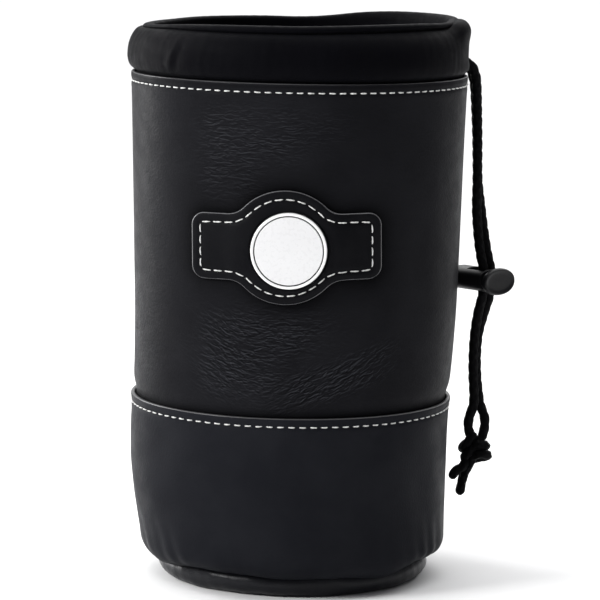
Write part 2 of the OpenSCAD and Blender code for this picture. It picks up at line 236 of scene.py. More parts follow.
def waves(theta, z, seed, turns, heights, size):
    """A soft ripple round the pouch: a sum of waves with whole numbers of turns."""
    pick = np.random.default_rng(seed)
    total = np.zeros(np.broadcast(theta, z).shape)
    for n in turns:
        for h in heights:
            phase = pick.uniform(0, TAU)
            total += np.sin(n * theta + pick.choice([-1, 1]) * TAU * z / h + phase) * pick.uniform(0.5, 1)
    return size * total / (len(turns) * len(heights)) ** 0.5


def bump_at(x, middle, width):
    return np.exp(-((x - middle) / width) ** 2)


def soft_box(x, low, high, edge):
    """1 between low and high and 0 outside them, with soft edges."""
    return 1 / (1 + np.exp(-(x - low) / edge)) / (1 + np.exp((x - high) / edge))


def turn_from(theta, degrees):
    """The angle from a direction, in degrees, between -180 and 180."""
    return (np.degrees(theta) - degrees + 180) % 360 - 180


# ---- The wall's shape, which the leather, foam, lining and seams all follow ----

# Outlines as (height, radius) pairs
BOOT_KEYS = [(TUCK_TOP, BOOT_R - 2.1), (26, BOOT_R - 0.9), (36, BOOT_R - 0.35), (BOOT_TOP, BOOT_R)]
WALL_KEYS = [*((z, r - UNDER_BOOT) for z, r in BOOT_KEYS), (BOOT_TOP + 5.3, WALL_LOW_R),
             (WALL_TOP, WALL_TOP_R)]
# How far the stuffed wall leans to the right by height, or to the left where negative
LEAN = [(11, 0.3), (18, -0.25), (26, -0.9), (36, -1.3), (50, -1.3), (60, -1.05), (70, -0.5), (86, 0)]
# Dents and lifts in the wall: direction, height, half width in degrees, half height, depth, slope
DENTS = [(289, 77, 13, 6, -0.5, 1.9), (272, 80, 9, 6, 0.6, 2.1), (318, 96, 8, 14, -0.35, 0.1),
         (328, 120, 7, 28, 0.22, 0), (250, 84, 16, 9, 0.28, -0.3), (232, 70, 14, 8, -0.3, -0.3),
         (245, 142, 18, 10, 0.22, 0.1), (222, 118, 10, 22, -0.2, 0), (292, 142, 16, 12, -0.2, 0.1),
         (60, 90, 16, 20, -0.4, 0.2), (120, 120, 20, 18, -0.35, -0.2), (170, 90, 18, 26, 0.3, 0.1)]
BOOT_DENTS = [(222, 46, 9, 9, -0.45, 0.2), (214, 30, 8, 10, 0.35, -0.2), (236, 34, 10, 12, -0.3, 0.3),
              (258, 44, 16, 10, 0.2, -0.1), (285, 30, 20, 9, -0.25, 0.2), (312, 42, 12, 12, 0.3, 0.2),
              (328, 34, 7, 12, -0.4, -0.2), (344, 46, 10, 10, -0.3, 0.2), (80, 38, 18, 12, -0.4, 0.2),
              (140, 34, 16, 12, -0.35, -0.2), (185, 42, 14, 10, 0.3, 0)]
# Where the wall's turn under the pouch ends: direction, height
HEM_KEYS = [(205, 5.2), (213, 5.6), (231, 7.3), (241, 7.0), (255, 7.1), (266, 6.2), (280, 6.4), (297, 6.4),
            (311, 4.9), (320, 6.0), (331, 8.2), (346, 7.6), (20, 6.4), (60, 7.0), (100, 6.0), (140, 6.8),
            (175, 5.6)]
HEM = 5.36                                   # and where it ends in the section itself
BACK_R = 52                                  # about the wall's radius at the back seam
# The boot's gathers just above its hem: direction, half width in degrees, depth
GATHERS = [(216, 2.6, 0.22), (224, 2.4, 0.3), (248, 3.4, 0.2), (255, 3, 0.2), (281, 4, 0.1), (303, 4, 0.12),
           (322, 3, 0.2), (329, 2.4, 0.35), (336, 2.4, 0.4), (344, 3, 0.35), (8, 3, 0.3), (24, 3, 0.25),
           (50, 3, 0.3), (77, 3, 0.25), (104, 3, 0.3), (131, 3, 0.25), (155, 3, 0.3), (183, 3, 0.25),
           (200, 3, 0.3)]


def eased(keys, z, reach=1.5):
    heights, radii = zip(*keys)
    return sum(np.interp(z + k * reach, heights, radii) for k in (-1, -0.5, 0, 0.5, 1)) / 5


def lean(z):
    heights, shifts = zip(*LEAN)
    return sum(np.interp(z + k, heights, shifts) for k in (-4, -2, 0, 2, 4)) / 5


def dents_at(dents, theta, z):
    total = 0
    for direction, height, wide, tall, depth, slope in dents:
        u = turn_from(theta, direction) / wide
        v = (z - height) / tall - slope * u
        total = total + depth * np.exp(-u * u - v * v)
    return total


def sag(theta, z):
    """How far the wall stands in or out of its true outline."""
    away = waves(theta, z, 3, (2, 3, 5), (110, 190), 0.11) + dents_at(DENTS, theta, z)
    return away * np.clip((WALL_TOP - z) / 22, 0, 1)


def seam_groove(z, seam):
    """Stitches draw the leather in along a seam, and it stands proud on both sides."""
    return (-0.22 * bump_at(z, seam, 0.55) + 0.07 * bump_at(z, seam + 1.5, 0.8)
            + 0.07 * bump_at(z, seam - 1.5, 0.9))


def round_the_cup(keys, theta):
    """A smooth value from (direction in degrees, value) pairs that go all the way round."""
    at, values = zip(*sorted((a % 360, v) for a, v in keys))
    at = np.array([at[-1] - 360, *at, at[0] + 360])
    values = np.array([values[-1], *values, values[0]])
    turn = np.degrees(theta) % 360
    return sum(np.interp((turn + k) % 360, at, values) for k in (-5, -2.5, 0, 2.5, 5)) / 5


def hem_drop(theta, z):
    """The wall's turn under the pouch ends higher in some directions than in others."""
    share = np.clip((TUCK_TOP - z) / (TUCK_TOP - HEM), 0, 1.2)
    return share * (round_the_cup(HEM_KEYS, theta) - HEM)


def gathers(theta, z):
    fade = np.clip(1.15 - np.abs(z - 9) / 15, 0, 1) ** 1.5
    total = 0
    for direction, wide, depth in GATHERS:
        across = turn_from(theta, direction) + 0.25 * (z - 10)
        total = total - depth * bump_at(across, 0, wide) + 0.5 * depth * bump_at(across, 2 * wide, wide)
    return total * fade


def in_place(theta, r, z):
    return np.stack([r * np.cos(theta) + lean(z), r * np.sin(theta) + 0 * z, z + 0 * theta], -1)


def wall_point(theta, z, out):
    """A point at a distance outside the wall's leather."""
    return in_place(theta, eased(WALL_KEYS, z) + sag(theta, z) + out, z)


def wall_shape(extra=None):
    """The shape of a layer of the wall, with whatever its own lines add."""
    def shape(theta, r, z):
        out = sag(theta, z) * np.clip((z - 8) / 10, 0, 1)
        if extra is not None:
            out = out + extra(theta, r, z)
        return in_place(theta, r + out, z + hem_drop(theta, z))
    return shape


def wall_lines(theta, r, z):
    """The seam's groove, and the butted back seam, on the outside of the wall only."""
    outside = r > eased(WALL_KEYS, z) - LEATHER / 2
    pinch = 0.35 * bump_at(z, BOOT_TOP + 1.5, 2.5)
    back = np.abs(np.radians(turn_from(theta, 90))) * BACK_R
    seam = -0.35 * bump_at(back, 0, 0.5) + 0.12 * bump_at(back, 1.6, 1)
    edge_wave = waves(theta, z * 0, 8, (23, 41), (1.0,), 0.05) * bump_at(z, WALL_TOP, 2.5)
    return np.where(outside, seam_groove(z, TOP_SEAM) - pinch + seam, 0) + edge_wave


def boot_lines(theta, r, z):
    outside = r > eased(BOOT_KEYS, z) - BOOT_LEATHER / 2
    dents = dents_at(BOOT_DENTS, theta, z) * np.clip((BOOT_TOP - z) / 8, 0, 1)
    edge_wave = waves(theta, z * 0, 5, (7, 17, 29), (1.0,), 0.07) * bump_at(z, BOOT_TOP, 3)
    lift = 0.3 * bump_at(z, BOOT_TOP, 1.6)
    return np.where(outside, seam_groove(z, BOOT_SEAM) + lift, 0) + gathers(theta, z) + dents + edge_wave


# ---- Materials; the scales here are per metre, and the depths are in metres ----

class Shader:
    """A Principled material, with short ways to add what varies over it."""

    def __init__(self, name, color, roughness=0.5, **constant):
        self.material = bpy.data.materials.new(name)
        self.material.use_nodes = True
        self.tree = self.material.node_tree
        self.surface = self.tree.nodes["Principled BSDF"]
        self.surface.inputs["Base Color"].default_value = (*color, 1)
        self.surface.inputs["Roughness"].default_value = roughness
        for socket, value in constant.items():
            self.surface.inputs[socket.replace("_", " ")].default_value = value

    def feed(self, socket, source):
        """Links a socket to another one, or sets it to a constant."""
        if isinstance(source, bpy.types.NodeSocket):
            self.tree.links.new(source, socket)
        else:
            socket.default_value = source

    def node(self, kind, links=(), **values):
        made = self.tree.nodes.new("ShaderNode" + kind)
        for name, value in values.items():
            setattr(made, name, value)
        for socket, source in dict(links).items():
            self.feed(made.inputs[socket], source)
        return made

    def uv(self, stretch=(1, 1, 1), turn=0.0, step=0.0):
        """The piece's flat place in metres, turned by an angle, stretched and moved up a step."""
        place = self.node("UVMap", uv_map="along").outputs["UV"]
        return self.mapped(self.mapped(place, Rotation=(0, 0, turn)), Scale=stretch, Location=(0, step, 0))

    def space(self, stretch=(1, 1, 1)):
        return self.mapped(self.node("TexCoord").outputs["Object"], Scale=stretch)

    def mapped(self, place, **how):
        return self.node("Mapping", {"Vector": place, **how}).outputs["Vector"]

    def noise(self, vector, scale, detail=3.0, rough=0.5, distortion=0.0):
        return self.node("TexNoise", {"Vector": vector, "Scale": scale, "Detail": detail,
                                      "Roughness": rough, "Distortion": distortion}).outputs["Fac"]

    def cells(self, vector, scale, feature="F1"):
        made = self.node("TexVoronoi", {"Vector": vector, "Scale": scale}, feature=feature)
        return made.outputs["Distance"]

    def wave(self, vector, scale, distortion, direction="X"):
        inputs = {"Vector": vector, "Scale": scale, "Distortion": distortion, "Detail": 2.0}
        return self.node("TexWave", inputs, wave_type="BANDS", bands_direction=direction).outputs["Fac"]

    def math(self, operation, a, b, clamp=False):
        made = self.node("Math", operation=operation, use_clamp=clamp)
        self.feed(made.inputs[0], a)
        self.feed(made.inputs[1], b)
        return made.outputs[0]

    def times(self, a, b, clamp=False):
        return self.math("MULTIPLY", a, b, clamp)

    def total(self, parts, clamp=False):
        whole, *others = parts
        for part in others:
            whole = self.math("ADD", whole, part, clamp)
        return whole

    def spread(self, value, low, high, out_low=0.0, out_high=1.0):
        return self.node("MapRange", {"Value": value, "From Min": low, "From Max": high,
                                      "To Min": out_low, "To Max": out_high},
                         interpolation_type="SMOOTHSTEP").outputs["Result"]

    def painted(self, name):
        return self.node("Attribute", attribute_name=name).outputs["Fac"]

    def mixed(self, share, low, high):
        """A colour between two others."""
        mix = self.node("Mix", {"Factor": share}, data_type="RGBA")
        for socket, color in ((mix.inputs[6], low), (mix.inputs[7], high)):
            self.feed(socket, (*color, 1) if isinstance(color, tuple) else color)
        return mix.outputs[2]

    def color_between(self, share, low, high):
        self.feed(self.surface.inputs["Base Color"], self.mixed(share, low, high))

    def roughness_from(self, value, low, high):
        self.feed(self.surface.inputs["Roughness"], self.spread(value, 0.3, 0.7, low, high))

    def relief(self, *layers):
        """Bumps from (height, depth) pairs, each on top of the one before it."""
        normal = None
        for height, depth in layers:
            bump = self.node("Bump", {"Height": height, "Distance": depth, "Strength": 1.0})
            if normal is not None:
                self.feed(bump.inputs["Normal"], normal)
            normal = bump.outputs["Normal"]
        self.feed(self.surface.inputs["Normal"], normal)


def leather_material(name, low, high, rough, crinkled=False, shine=0.022):
    """Fine-grained leather. Where it is crinkled, short folds run level, falling or rising to the right, each
    with a painted highlight on its crest and a painted shadow in its crease. Where it has painted shade, it
    is darker and duller."""
    s = Shader(name, low, Specular_IOR_Level=shine)
    flat = s.uv()
    cloud = s.spread(s.noise(flat, 45, 4, 0.6), 0.3, 0.7)
    gloss = s.noise(flat, 160, 3, 0.6)
    grain = [(s.cells(flat, 1700, "SMOOTH_F1"), 0.00005), (s.noise(flat, 3200, 2, 0.5), 0.00002)]
    if not crinkled:
        s.roughness_from(gloss, *rough)
        s.color_between(cloud, low, high)
        s.relief(*grain)
        return s.material
    patchy = s.spread(s.noise(s.uv((0.6, 1, 1)), 150, 2, 0.5), 0.3, 0.5, 0.35, 1)
    folds, painted_crest_highlights, painted_crease_shadows = [], [], []
    for mask, slope in (("level", 1), ("falling", 22), ("rising", -27)):
        below, above = (s.noise(s.uv((0.3, 1, 1), math.radians(slope), step), 1000, 1.4, 0.5, 0.9)
                        for step in (-0.00013, 0.00013))
        here = s.times(patchy, s.painted(mask))
        folds.append(s.times(s.spread(s.times(s.total([below, above]), 0.5), 0.36, 0.62), here))
        # Painted highlights on one side of each fold and painted shadows on the other, as light from above
        # would fall
        painted_crest_highlights.append(s.times(s.spread(s.math("SUBTRACT", below, above), 0.01, 0.15), here))
        painted_crease_shadows.append(s.times(s.spread(s.math("SUBTRACT", above, below), 0.01, 0.13), here))
    faint = s.noise(s.uv((0.5, 1, 1)), 260, 3, 0.55)
    # The painted shade mask, with the painted crease shadows, darkens the colour and dulls it
    shade = s.total([s.painted("shade"), s.times(s.total(painted_crease_shadows), 0.7)], clamp=True)
    tone_and_crest_highlights = s.total([s.times(cloud, 0.1), s.times(s.total(painted_crest_highlights), 0.85)])
    color_with_highlights = s.mixed(s.times(tone_and_crest_highlights, s.math("SUBTRACT", 1.0, shade), clamp=True), low, high)
    # Painted shade: the colour goes towards near-black where shaded
    s.color_between(s.times(shade, 0.75), color_with_highlights, (0.001, 0.001, 0.0012))
    dull = s.total([s.spread(gloss, 0.3, 0.7, *rough), s.times(shade, 0.3)], clamp=True)
    s.feed(s.surface.inputs["Roughness"], dull)
    s.relief((faint, 0.00014), (s.total(folds), 0.00018), *grain)
    return s.material


# Edge paint on the leather's cut edges; its grey is lighter than the leather partly as a painted highlight
# along the edge
def edge_material(name, gray):
    s = Shader(name, (gray, gray, gray * 1.05), Specular_IOR_Level=0.6)
    s.roughness_from(s.noise(s.space(), 900, 3), 0.3, 0.46)
    s.relief((s.noise(s.space((1, 1, 3)), 1500, 3), 0.00003))
    return s.material


def noisy_shader(name, colors, rough, color_noise, rough_noise, stretch=None, **constant):
    """A material with noise in its colour and roughness, and its place: in space where it has a stretch,
    and on the flat piece otherwise. A noise is (scale, detail) or (scale, detail, rough), or None."""
    s = Shader(name, colors[0], rough[0], **constant)
    place = s.uv() if stretch is None else s.space(stretch)
    if color_noise:
        s.color_between(s.noise(place, *color_noise), *colors)
    if rough_noise:
        s.roughness_from(s.noise(place, *rough_noise), *rough)
    return s, place


def nylon_material():
    s, flat = noisy_shader("nylon", [(0.0016, 0.0016, 0.0024), (0.0027, 0.0027, 0.0038)], (0.46, 0.58),
                           (70, 3), (260, 3), Specular_IOR_Level=0.016, Sheen_Weight=0.01,
                           Sheen_Roughness=0.45)
    weave = s.times(s.wave(flat, 1250, 0.15, "X"), s.wave(flat, 1250, 0.15, "Y"))
    puckers = s.times(s.noise(s.uv((1, 0.12, 1)), 420, 2, 0.6), s.painted("pucker"))
    s.relief((s.noise(flat, 90, 3), 0.00022), (puckers, 0.00014), (weave, 0.00003))
    return s.material


def lining_material():
    s, flat = noisy_shader("lining", [(0.007, 0.007, 0.008), (0.016, 0.016, 0.0175)], (0.78, 0.95),
                           (700, 4, 0.7), (500, 3), Specular_IOR_Level=0.15, Sheen_Weight=0.15,
                           Sheen_Roughness=0.5)
    s.relief((s.noise(flat, 160, 3), 0.0002), (s.noise(flat, 2600, 4, 0.8), 0.00018))
    return s.material


def braid_material():
    s, _ = noisy_shader("braid", [(0.0009, 0.0009, 0.0012), (0.0024, 0.0024, 0.0029)], (0.6, 0.82), (900, 3),
                        (700, 3), Specular_IOR_Level=0.06, Sheen_Weight=0.015, Sheen_Roughness=0.4)
    s.relief((s.noise(s.uv(turn=0.6), 5200, 3, 0.7), 0.00006))
    return s.material


def thread_material():
    s, _ = noisy_shader("thread", [(0.78, 0.78, 0.76), (0.92, 0.92, 0.9)], (0.48, 0.62), (1500, 2), (900, 2),
                        Specular_IOR_Level=0.4, Sheen_Weight=0.2)
    s.relief((s.wave(s.uv(turn=0.9), 3400, 0.3), 0.00004))
    return s.material


def foam_material():
    low, high = (0.2, 0.21, 0.22), (0.36, 0.37, 0.38)
    s = Shader("foam", low, 0.9)
    bubbles = s.cells(s.space(), 1400)
    s.color_between(bubbles, low, high)
    s.relief((bubbles, 0.0002))
    return s.material


def board_material():
    s, place = noisy_shader("board", [(0.15, 0.135, 0.12), (0.25, 0.225, 0.2)], [0.8], (500, 5), None,
                            (1, 6, 1))
    s.relief((s.noise(place, 900, 4), 0.00005))
    return s.material


def plastic_material(name, color, rough):
    s, place = noisy_shader(name, [color, tuple(1.5 * c for c in color)], (rough - 0.05, rough + 0.06),
                            (300, 3), (1200, 4), (1, 1, 1), Specular_IOR_Level=0.2)
    s.relief((s.noise(place, 4200, 3, 0.6), 0.00001))
    return s.material


def metal_material(name, color, rough):
    s, place = noisy_shader(name, [color], (rough - 0.06, rough + 0.08), None, (700, 3), (1, 1, 12),
                            Metallic=1.0)
    s.relief((s.noise(place, 1500, 2), 0.000006))
    return s.material


def enamel_material(name, low, high, rough):
    s, place = noisy_shader(name, [low, high], (rough - 0.06, rough + 0.06), (120, 3), (800, 3), (1, 1, 1),
                            Specular_IOR_Level=0.5, Coat_Weight=0.4, Coat_Roughness=0.1)
    s.relief((s.noise(place, 260, 2), 0.00002))
    return s.material


# Its lighter colour is mostly used by the painted crest highlights
black_leather = leather_material("black_leather", (0.007, 0.0071, 0.0085), (0.032, 0.033, 0.038),
                                 (0.34, 0.44), crinkled=True)
boot_leather = leather_material("boot_leather", (0.0085, 0.009, 0.0115), (0.0118, 0.0124, 0.0152),
                                (0.38, 0.48))
patch_leather = leather_material("patch_leather", (0.005, 0.0051, 0.0062), (0.007, 0.0071, 0.0082),
                                 (0.44, 0.54))
welt_leather = leather_material("welt_leather", (0.0075, 0.0078, 0.0098), (0.011, 0.0114, 0.0138),
                                (0.28, 0.38), shine=0.15)
# Edge paint with a painted highlight: the badge's edge is lightest
leather_edge_paint_and_highlight = edge_material("leather_edge_paint_and_highlight", 0.045)
badge_edge_paint_and_highlight = edge_material("badge_edge_paint_and_highlight", 0.12)
nylon = nylon_material()
lining_cloth = lining_material()
braid = braid_material()
thread = thread_material()
lock_plastic = plastic_material("lock_plastic", (0.0034, 0.0034, 0.0041), 0.4)
seat_plastic = plastic_material("seat_plastic", (0.003, 0.003, 0.0035), 0.5)
foam_grey = foam_material()
board_brown = board_material()
spring_steel = metal_material("spring_steel", (0.6, 0.6, 0.62), 0.3)
magnet_metal = metal_material("magnet_metal", (0.45, 0.46, 0.48), 0.35)
rim_white = enamel_material("rim_white", (0.8, 0.8, 0.8), (0.88, 0.88, 0.87), 0.22)
face_white = enamel_material("face_white", (0.7, 0.7, 0.705), (0.74, 0.74, 0.745), 0.3)
# Painted shade: a near-black for the floor of the narrow groove round the marker's face
painted_groove_shade = plastic_material("painted_groove_shade", (0.01, 0.01, 0.011), 0.5)


# ---- Round pieces: a section turned about the cup's axis, then shaped ----

def round_piece(name, section, shape, materials, columns=360, closed=True, face_material=None):
    """section is (radius, height) pairs; shape(theta, r, z) gives the points of the finished surface."""
    section = np.asarray(section, float)
    theta = TAU / 4 + full_turn(columns)
    grid = shape(theta[None, :], section[:, :1], section[:, 1:])
    run = distances(np.vstack([section, section[:1]]) if closed else section)
    tags = None if face_material is None else np.repeat(face_material, columns)
    uv = flat_grid(TAU * section[:, 0].max(), columns, run)
    return grid_piece(name, grid, materials, uv, closed, not closed, tags)


def levels(low, high, fine_at=(), coarse=1.35, fine=0.3, reach=3):
    """Heights from low to high, closer together near a seam."""
    found = [low]
    while found[-1] < high:
        near = min([abs(found[-1] - f) for f in fine_at], default=reach)
        found.append(found[-1] + fine + (coarse - fine) * min(near / reach, 1))
    found = np.array(found)
    return low + (found - low) * (high - low) / (found[-1] - low)


def turned_in(across, drop, turn):
    """The arc by which the wall turns in under the pouch."""
    t = np.radians(np.linspace(turn, 0, 14, endpoint=False))
    return np.stack([TUCK_R + across * np.cos(t), TUCK_TOP - drop * np.sin(t)], 1)


def rounded_edge(r, z, thick, soft):
    """A leather edge seen in section: up the outside, over the top and down, softly rounded."""
    t = np.linspace(0, TAU / 4, 5)
    outside = np.stack([r - soft + soft * np.cos(t), z - soft + soft * np.sin(t)], 1)
    inside = np.stack([r - thick + soft - soft * np.cos(t[::-1]), z - soft + soft * np.sin(t[::-1])], 1)
    return np.vstack([outside, inside])


def wall_section(keys, near, far, high, seams=(), soft=0.42, tuck=None):
    """A layer between two depths below an outline, as a closed section that starts at its foot."""
    up, down = levels(TUCK_TOP, high - soft, seams), levels(TUCK_TOP, high - soft, coarse=3)[::-1]
    out = np.stack([eased(keys, up) - near, up], 1)
    back = np.stack([eased(keys, down) - far, down], 1)
    edge = rounded_edge(eased(keys, np.array(high)) - near, high, far - near, soft)
    parts = [out[:-1], edge, back[1:]]
    if tuck is not None:
        across, drop, turn = tuck
        outer = turned_in(across, drop, turn)
        inner = turned_in(across - (far - near), drop - (far - near), turn)[::-1]
        middle = (outer[0] + inner[-1]) / 2
        parts = [outer, *parts, inner, middle[None] + (outer[0] - outer[1]) * 0.2]
    return np.vstack(parts)


def painted_edge(section, top):
    """1 for the rows of faces on a piece's rounded top edge, and 0 for the others."""
    middle = (section[:, 1] + np.roll(section[:, 1], -1)) / 2
    return (middle > top - 0.22).astype(int)


# ---- The drawcord ----

FRONT_ROUTE = np.array([
    [51.0, 16.9, 166.5], [53.3, 17.8, 166.0], [55.4, 18.9, 164.2], [56.5, 20.2, 161.0], [56.9, 21.4, 157.0],
    [57.2, 22.8, 150.0], [57.5, 23.2, 142.0], [57.7, 23.3, 134.0], [57.8, 23.3, 126.0], [57.8, 23.5, 118.0],
    [58.4, 23.2, 110.0], [59.4, 22.2, 103.0], [60.5, 20.9, 98.0], [60.6, 20.7, 93.5], [60.4, 20.8, 89.0],
    [59.1, 22.2, 83.0], [58.2, 23.2, 76.0], [57.9, 23.3, 69.0], [58.0, 23.3, 62.0], [58.4, 23.5, 56.0],
    [58.3, 23.8, 52.0], [57.1, 24.1, 48.0], [56.8, 24.4, 44.5], [57.8, 24.8, 41.0]])
REAR_ROUTE = np.array([
    [50.0, 20.0, 166.5], [52.2, 20.9, 166.0], [54.3, 22.0, 164.2], [55.6, 23.4, 161.0], [56.3, 24.6, 157.0],
    [56.8, 26.1, 150.0], [57.3, 26.5, 142.0], [57.6, 26.6, 134.0], [58.0, 26.6, 126.0], [59.1, 26.5, 118.0],
    [60.3, 26.0, 110.0], [61.6, 24.7, 103.0], [62.8, 23.3, 98.0], [62.9, 23.1, 93.5], [62.7, 23.2, 89.0],
    [61.1, 24.9, 83.0], [59.4, 26.3, 76.0], [58.9, 26.6, 69.0], [59.1, 26.6, 62.0], [59.8, 26.6, 56.0],
    [60.5, 26.5, 52.0], [62.0, 26.0, 48.0], [62.2, 25.5, 44.5], [61.4, 25.3, 41.0]])
STRANDS, PLAIT_PITCH, PLAIT_LIFT = 4, 7.5, 0.14


def braided(name, route, radius=CORD / 2, sides=28, ring_step=0.32, taper=0.0):
    """A braided cord along a route, its plaits raised on the surface."""
    line = smooth_line(route, max(8, round(line_length(smooth_line(route, 400)) / ring_step)))
    _, across, up = frames_along(line)
    run = np.linspace(0, line_length(line), len(line))
    turn = full_turn(sides)
    twist = TAU * run[:, None] / PLAIT_PITCH * STRANDS / 2
    one, other = (np.cos(STRANDS * turn[None, :] + way * twist) for way in (1, -1))
    r = radius - 0.07 + np.maximum(one, other) * PLAIT_LIFT - np.where(one > other, 0, 0.05)
    if taper:
        end = np.clip((run[-1] - run) / taper, 0.05, 1)
        r = r * np.sqrt(end * (2 - end))[:, None]
    grid = rings_along(line, across, up, turn, r[..., None])
    uv = flat_grid(TAU * radius, sides, run)
    return grid_piece(name, grid, [braid], uv, wrap=False, caps=True), line


front_cord, front_line = braided("drawcord_front", FRONT_ROUTE)
rear_cord, rear_line = braided("drawcord_rear", REAR_ROUTE)
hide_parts("drawcord_tail_front")
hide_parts("drawcord_tail_rear")
for cord in (front_cord, rear_cord):
    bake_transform(cord)

# The knot: both tails wrap once round themselves, and their ends come out below
KNOT = np.array([59.2, 25.2, 35.5])
KNOT_TURNS = [(-0.6, -1.6, 4.6), (-2.4, -2.2, 2.4), (-3.7, -0.9, 0.6), (-3.3, 1.5, -0.4), (-0.8, 2.6, -0.6),
              (2.2, 2.2, 0.0), (3.8, 0.4, 0.9), (3.2, -1.5, 1.6), (1.0, -2.4, 1.7), (-0.9, -1.2, 0.8),
              (-1.9, -0.4, -1.6)]
SHORT_END = [[55.6, 24.0, 31.6], [53.6, 23.6, 30.2], [52.2, 23.3, 28.6], [51.7, 23.2, 27.0]]
LONG_END = [[56.7, 25.4, 30.4], [55.5, 25.8, 27.4], [54.8, 25.7, 24.0], [54.4, 25.6, 21.2]]


def knot_strand(name, route, lift, side, end, *nodes):
    """One tail's turn through the knot: right, back and up from the knot's middle."""
    turns = [KNOT + np.array([x + side, y, z + lift]) for x, y, z in KNOT_TURNS]
    way = [route[-2] * 0.35 + route[-1] * 0.65, route[-1], *turns, *end]
    strand = braided(name, way, 1.56, taper=1.3)[0]
    fit(strand, "cord_black", "cord_tail", *nodes)
    return strand


knot_one = knot_strand("knot_strand_front", FRONT_ROUTE, 1.6, -0.3, SHORT_END, "cord_knot")
knot_two = knot_strand("knot_strand_rear", REAR_ROUTE, -1.6, 0.4, LONG_END)

channel_low, channel_high = cad_box("drawcord_ring")
CHANNEL_R = channel_high[1] - CORD / 2
CHANNEL_Z = (channel_low[2] + channel_high[2]) / 2
RING_START, RING_GAP = math.radians(20.4), math.radians(6)     # it opens where the tails leave
ring_turns = np.linspace(RING_START + RING_GAP, RING_START + TAU - RING_GAP, 60)
ring_route = np.stack([CHANNEL_R * np.cos(ring_turns), CHANNEL_R * np.sin(ring_turns),
                       CHANNEL_Z + 0 * ring_turns], 1)
ring = braided("drawcord_in_collar", ring_route, CORD / 2 - 0.05, 20, 0.8)[0]
fit(ring, "cord_black", "pouch", "drawcord_ring")


# ---- The badge's outline, which the painted shade round it on the wall also follows ----

BADGE_HALF_W = (BADGE_HIGH[0] - BADGE_LOW[0]) / 2
ROUND_R = (BADGE_HIGH[2] - BADGE_LOW[2]) / 2 + 0.3
TAB_H = 20.6
FILLET = 7
CORNER = 4
BADGE_INSET = 2.7
HOLE_R = COIN_R + 0.25
SEAT_SHOWN_R = HOLE_R - 0.05


def arc(x, z, r, start, end, count):
    turn = np.linspace(start, end, count)
    return np.stack([x + r * np.cos(turn), z + r * np.sin(turn)], 1)


def badge_quarter(inset):
    """A line at a depth inside the badge's edge, from its top to its right end."""
    fz = TAB_H / 2 + FILLET
    fx = math.sqrt((ROUND_R + FILLET) ** 2 - fz ** 2)
    meet = math.atan2(fz, fx)
    soft = CORNER - inset
    return np.vstack([arc(0, 0, ROUND_R - inset, TAU / 4, meet, 40),
                      arc(fx, fz, FILLET + inset, TAU / 2 + meet, 0.75 * TAU, 24),
                      arc(BADGE_HALF_W - CORNER, TAB_H / 2 - CORNER, soft, TAU / 4, 0, 16)])


def badge_loop(inset, count):
    q = badge_quarter(inset)
    loop = np.vstack([q, (q * [1, -1])[::-1], q * [-1, -1], (q * [-1, 1])[::-1], q[:1]])
    keep = np.concatenate([[True], np.linalg.norm(np.diff(loop, axis=0), axis=1) > 1e-4])
    return even_points(loop[keep], count, endpoint=False)


# ---- The wall ----

def paint(piece, name, values):
    layer = piece.data.attributes.new(name, "FLOAT", "POINT")
    layer.data.foreach_set("value", np.asarray(values, np.float32).ravel())


def points_of(piece):
    co = np.zeros(len(piece.data.vertices) * 3, np.float32)
    piece.data.vertices.foreach_get("co", co)
    return co.reshape(-1, 3).astype(float) / MM


def distance_from_badge(points):
    """How far points of the wall are from the badge's edge, seen from the front."""
    flat = points[:, [0, 2]] - [BADGE_X, BADGE_Z]
    near = (points[:, 1] < 0) & (np.abs(flat[:, 0]) < 38) & (np.abs(flat[:, 1]) < 26)
    outline = badge_loop(0, 360)
    away = np.full(len(points), np.inf)
    away[near] = [np.hypot(*(outline - q).T).min() for q in flat[near]]
    return away


def paint_wall(piece):
    """Where the wall is crinkled, by direction in degrees and height, and where it gets painted shade."""
    points = points_of(piece)
    turn = np.degrees(np.arctan2(points[:, 1], points[:, 0])) % 360
    height = points[:, 2]

    def patch(strength, turns, heights, side_edge, end_edge):
        return strength * soft_box(turn, *turns, side_edge) * soft_box(height, *heights, end_edge)

    level = (patch(0.55, (240, 273), (139, 154), 1.5, 1.2) + patch(0.55, (240, 260), (127, 139), 1.5, 1.5)
             + patch(0.3, (273, 288), (144, 153), 2, 1) + patch(0.9, (252, 281), (80, 92), 2.5, 1.5)
             + patch(0.9, (250, 268), (66, 80), 2.5, 1.5) + patch(0.6, (20, 110), (88, 120), 8, 5))
    falling = patch(1, (240, 256), (66, 90), 2.5, 2) + patch(0.7, (130, 200), (70, 96), 8, 4)
    slope = height - 71 - 0.3 * (turn - 287.5)
    rising = (soft_box(turn, 267, 308, 3) * np.exp(-(slope / 6) ** 4)
              + patch(0.3, (272, 287), (82, 93), 3, 2))
    # Painted shade: a dark band just above the boot, under the wall's top edge and round the badge
    above_boot = np.exp(-(np.maximum(height - BOOT_TOP, 0) / 1.6) ** 1.5)
    under_edge = 0.8 * np.exp(-np.maximum(WALL_TOP - 0.6 - height, 0) / 0.9) * (height < WALL_TOP - 1)
    by_badge = np.exp(-distance_from_badge(points) / 3)
    paint(piece, "shade", np.maximum(np.maximum(above_boot, under_edge), by_badge))
    paint(piece, "level", 0.04 + level)
    paint(piece, "falling", 0.03 + falling)
    paint(piece, "rising", rising)


wall_profile = wall_section(WALL_KEYS, 0, LEATHER, WALL_TOP, (TOP_SEAM, WALL_TOP, BOOT_TOP + 2),
                            tuck=(4.8, 6.5, 75))
leather_wall = round_piece("leather_wall", wall_profile, wall_shape(wall_lines),
                           [black_leather, leather_edge_paint_and_highlight], 440,
                           face_material=painted_edge(wall_profile, WALL_TOP))
paint_wall(leather_wall)
fit(leather_wall, "leather_black", "pouch", "body_shell")

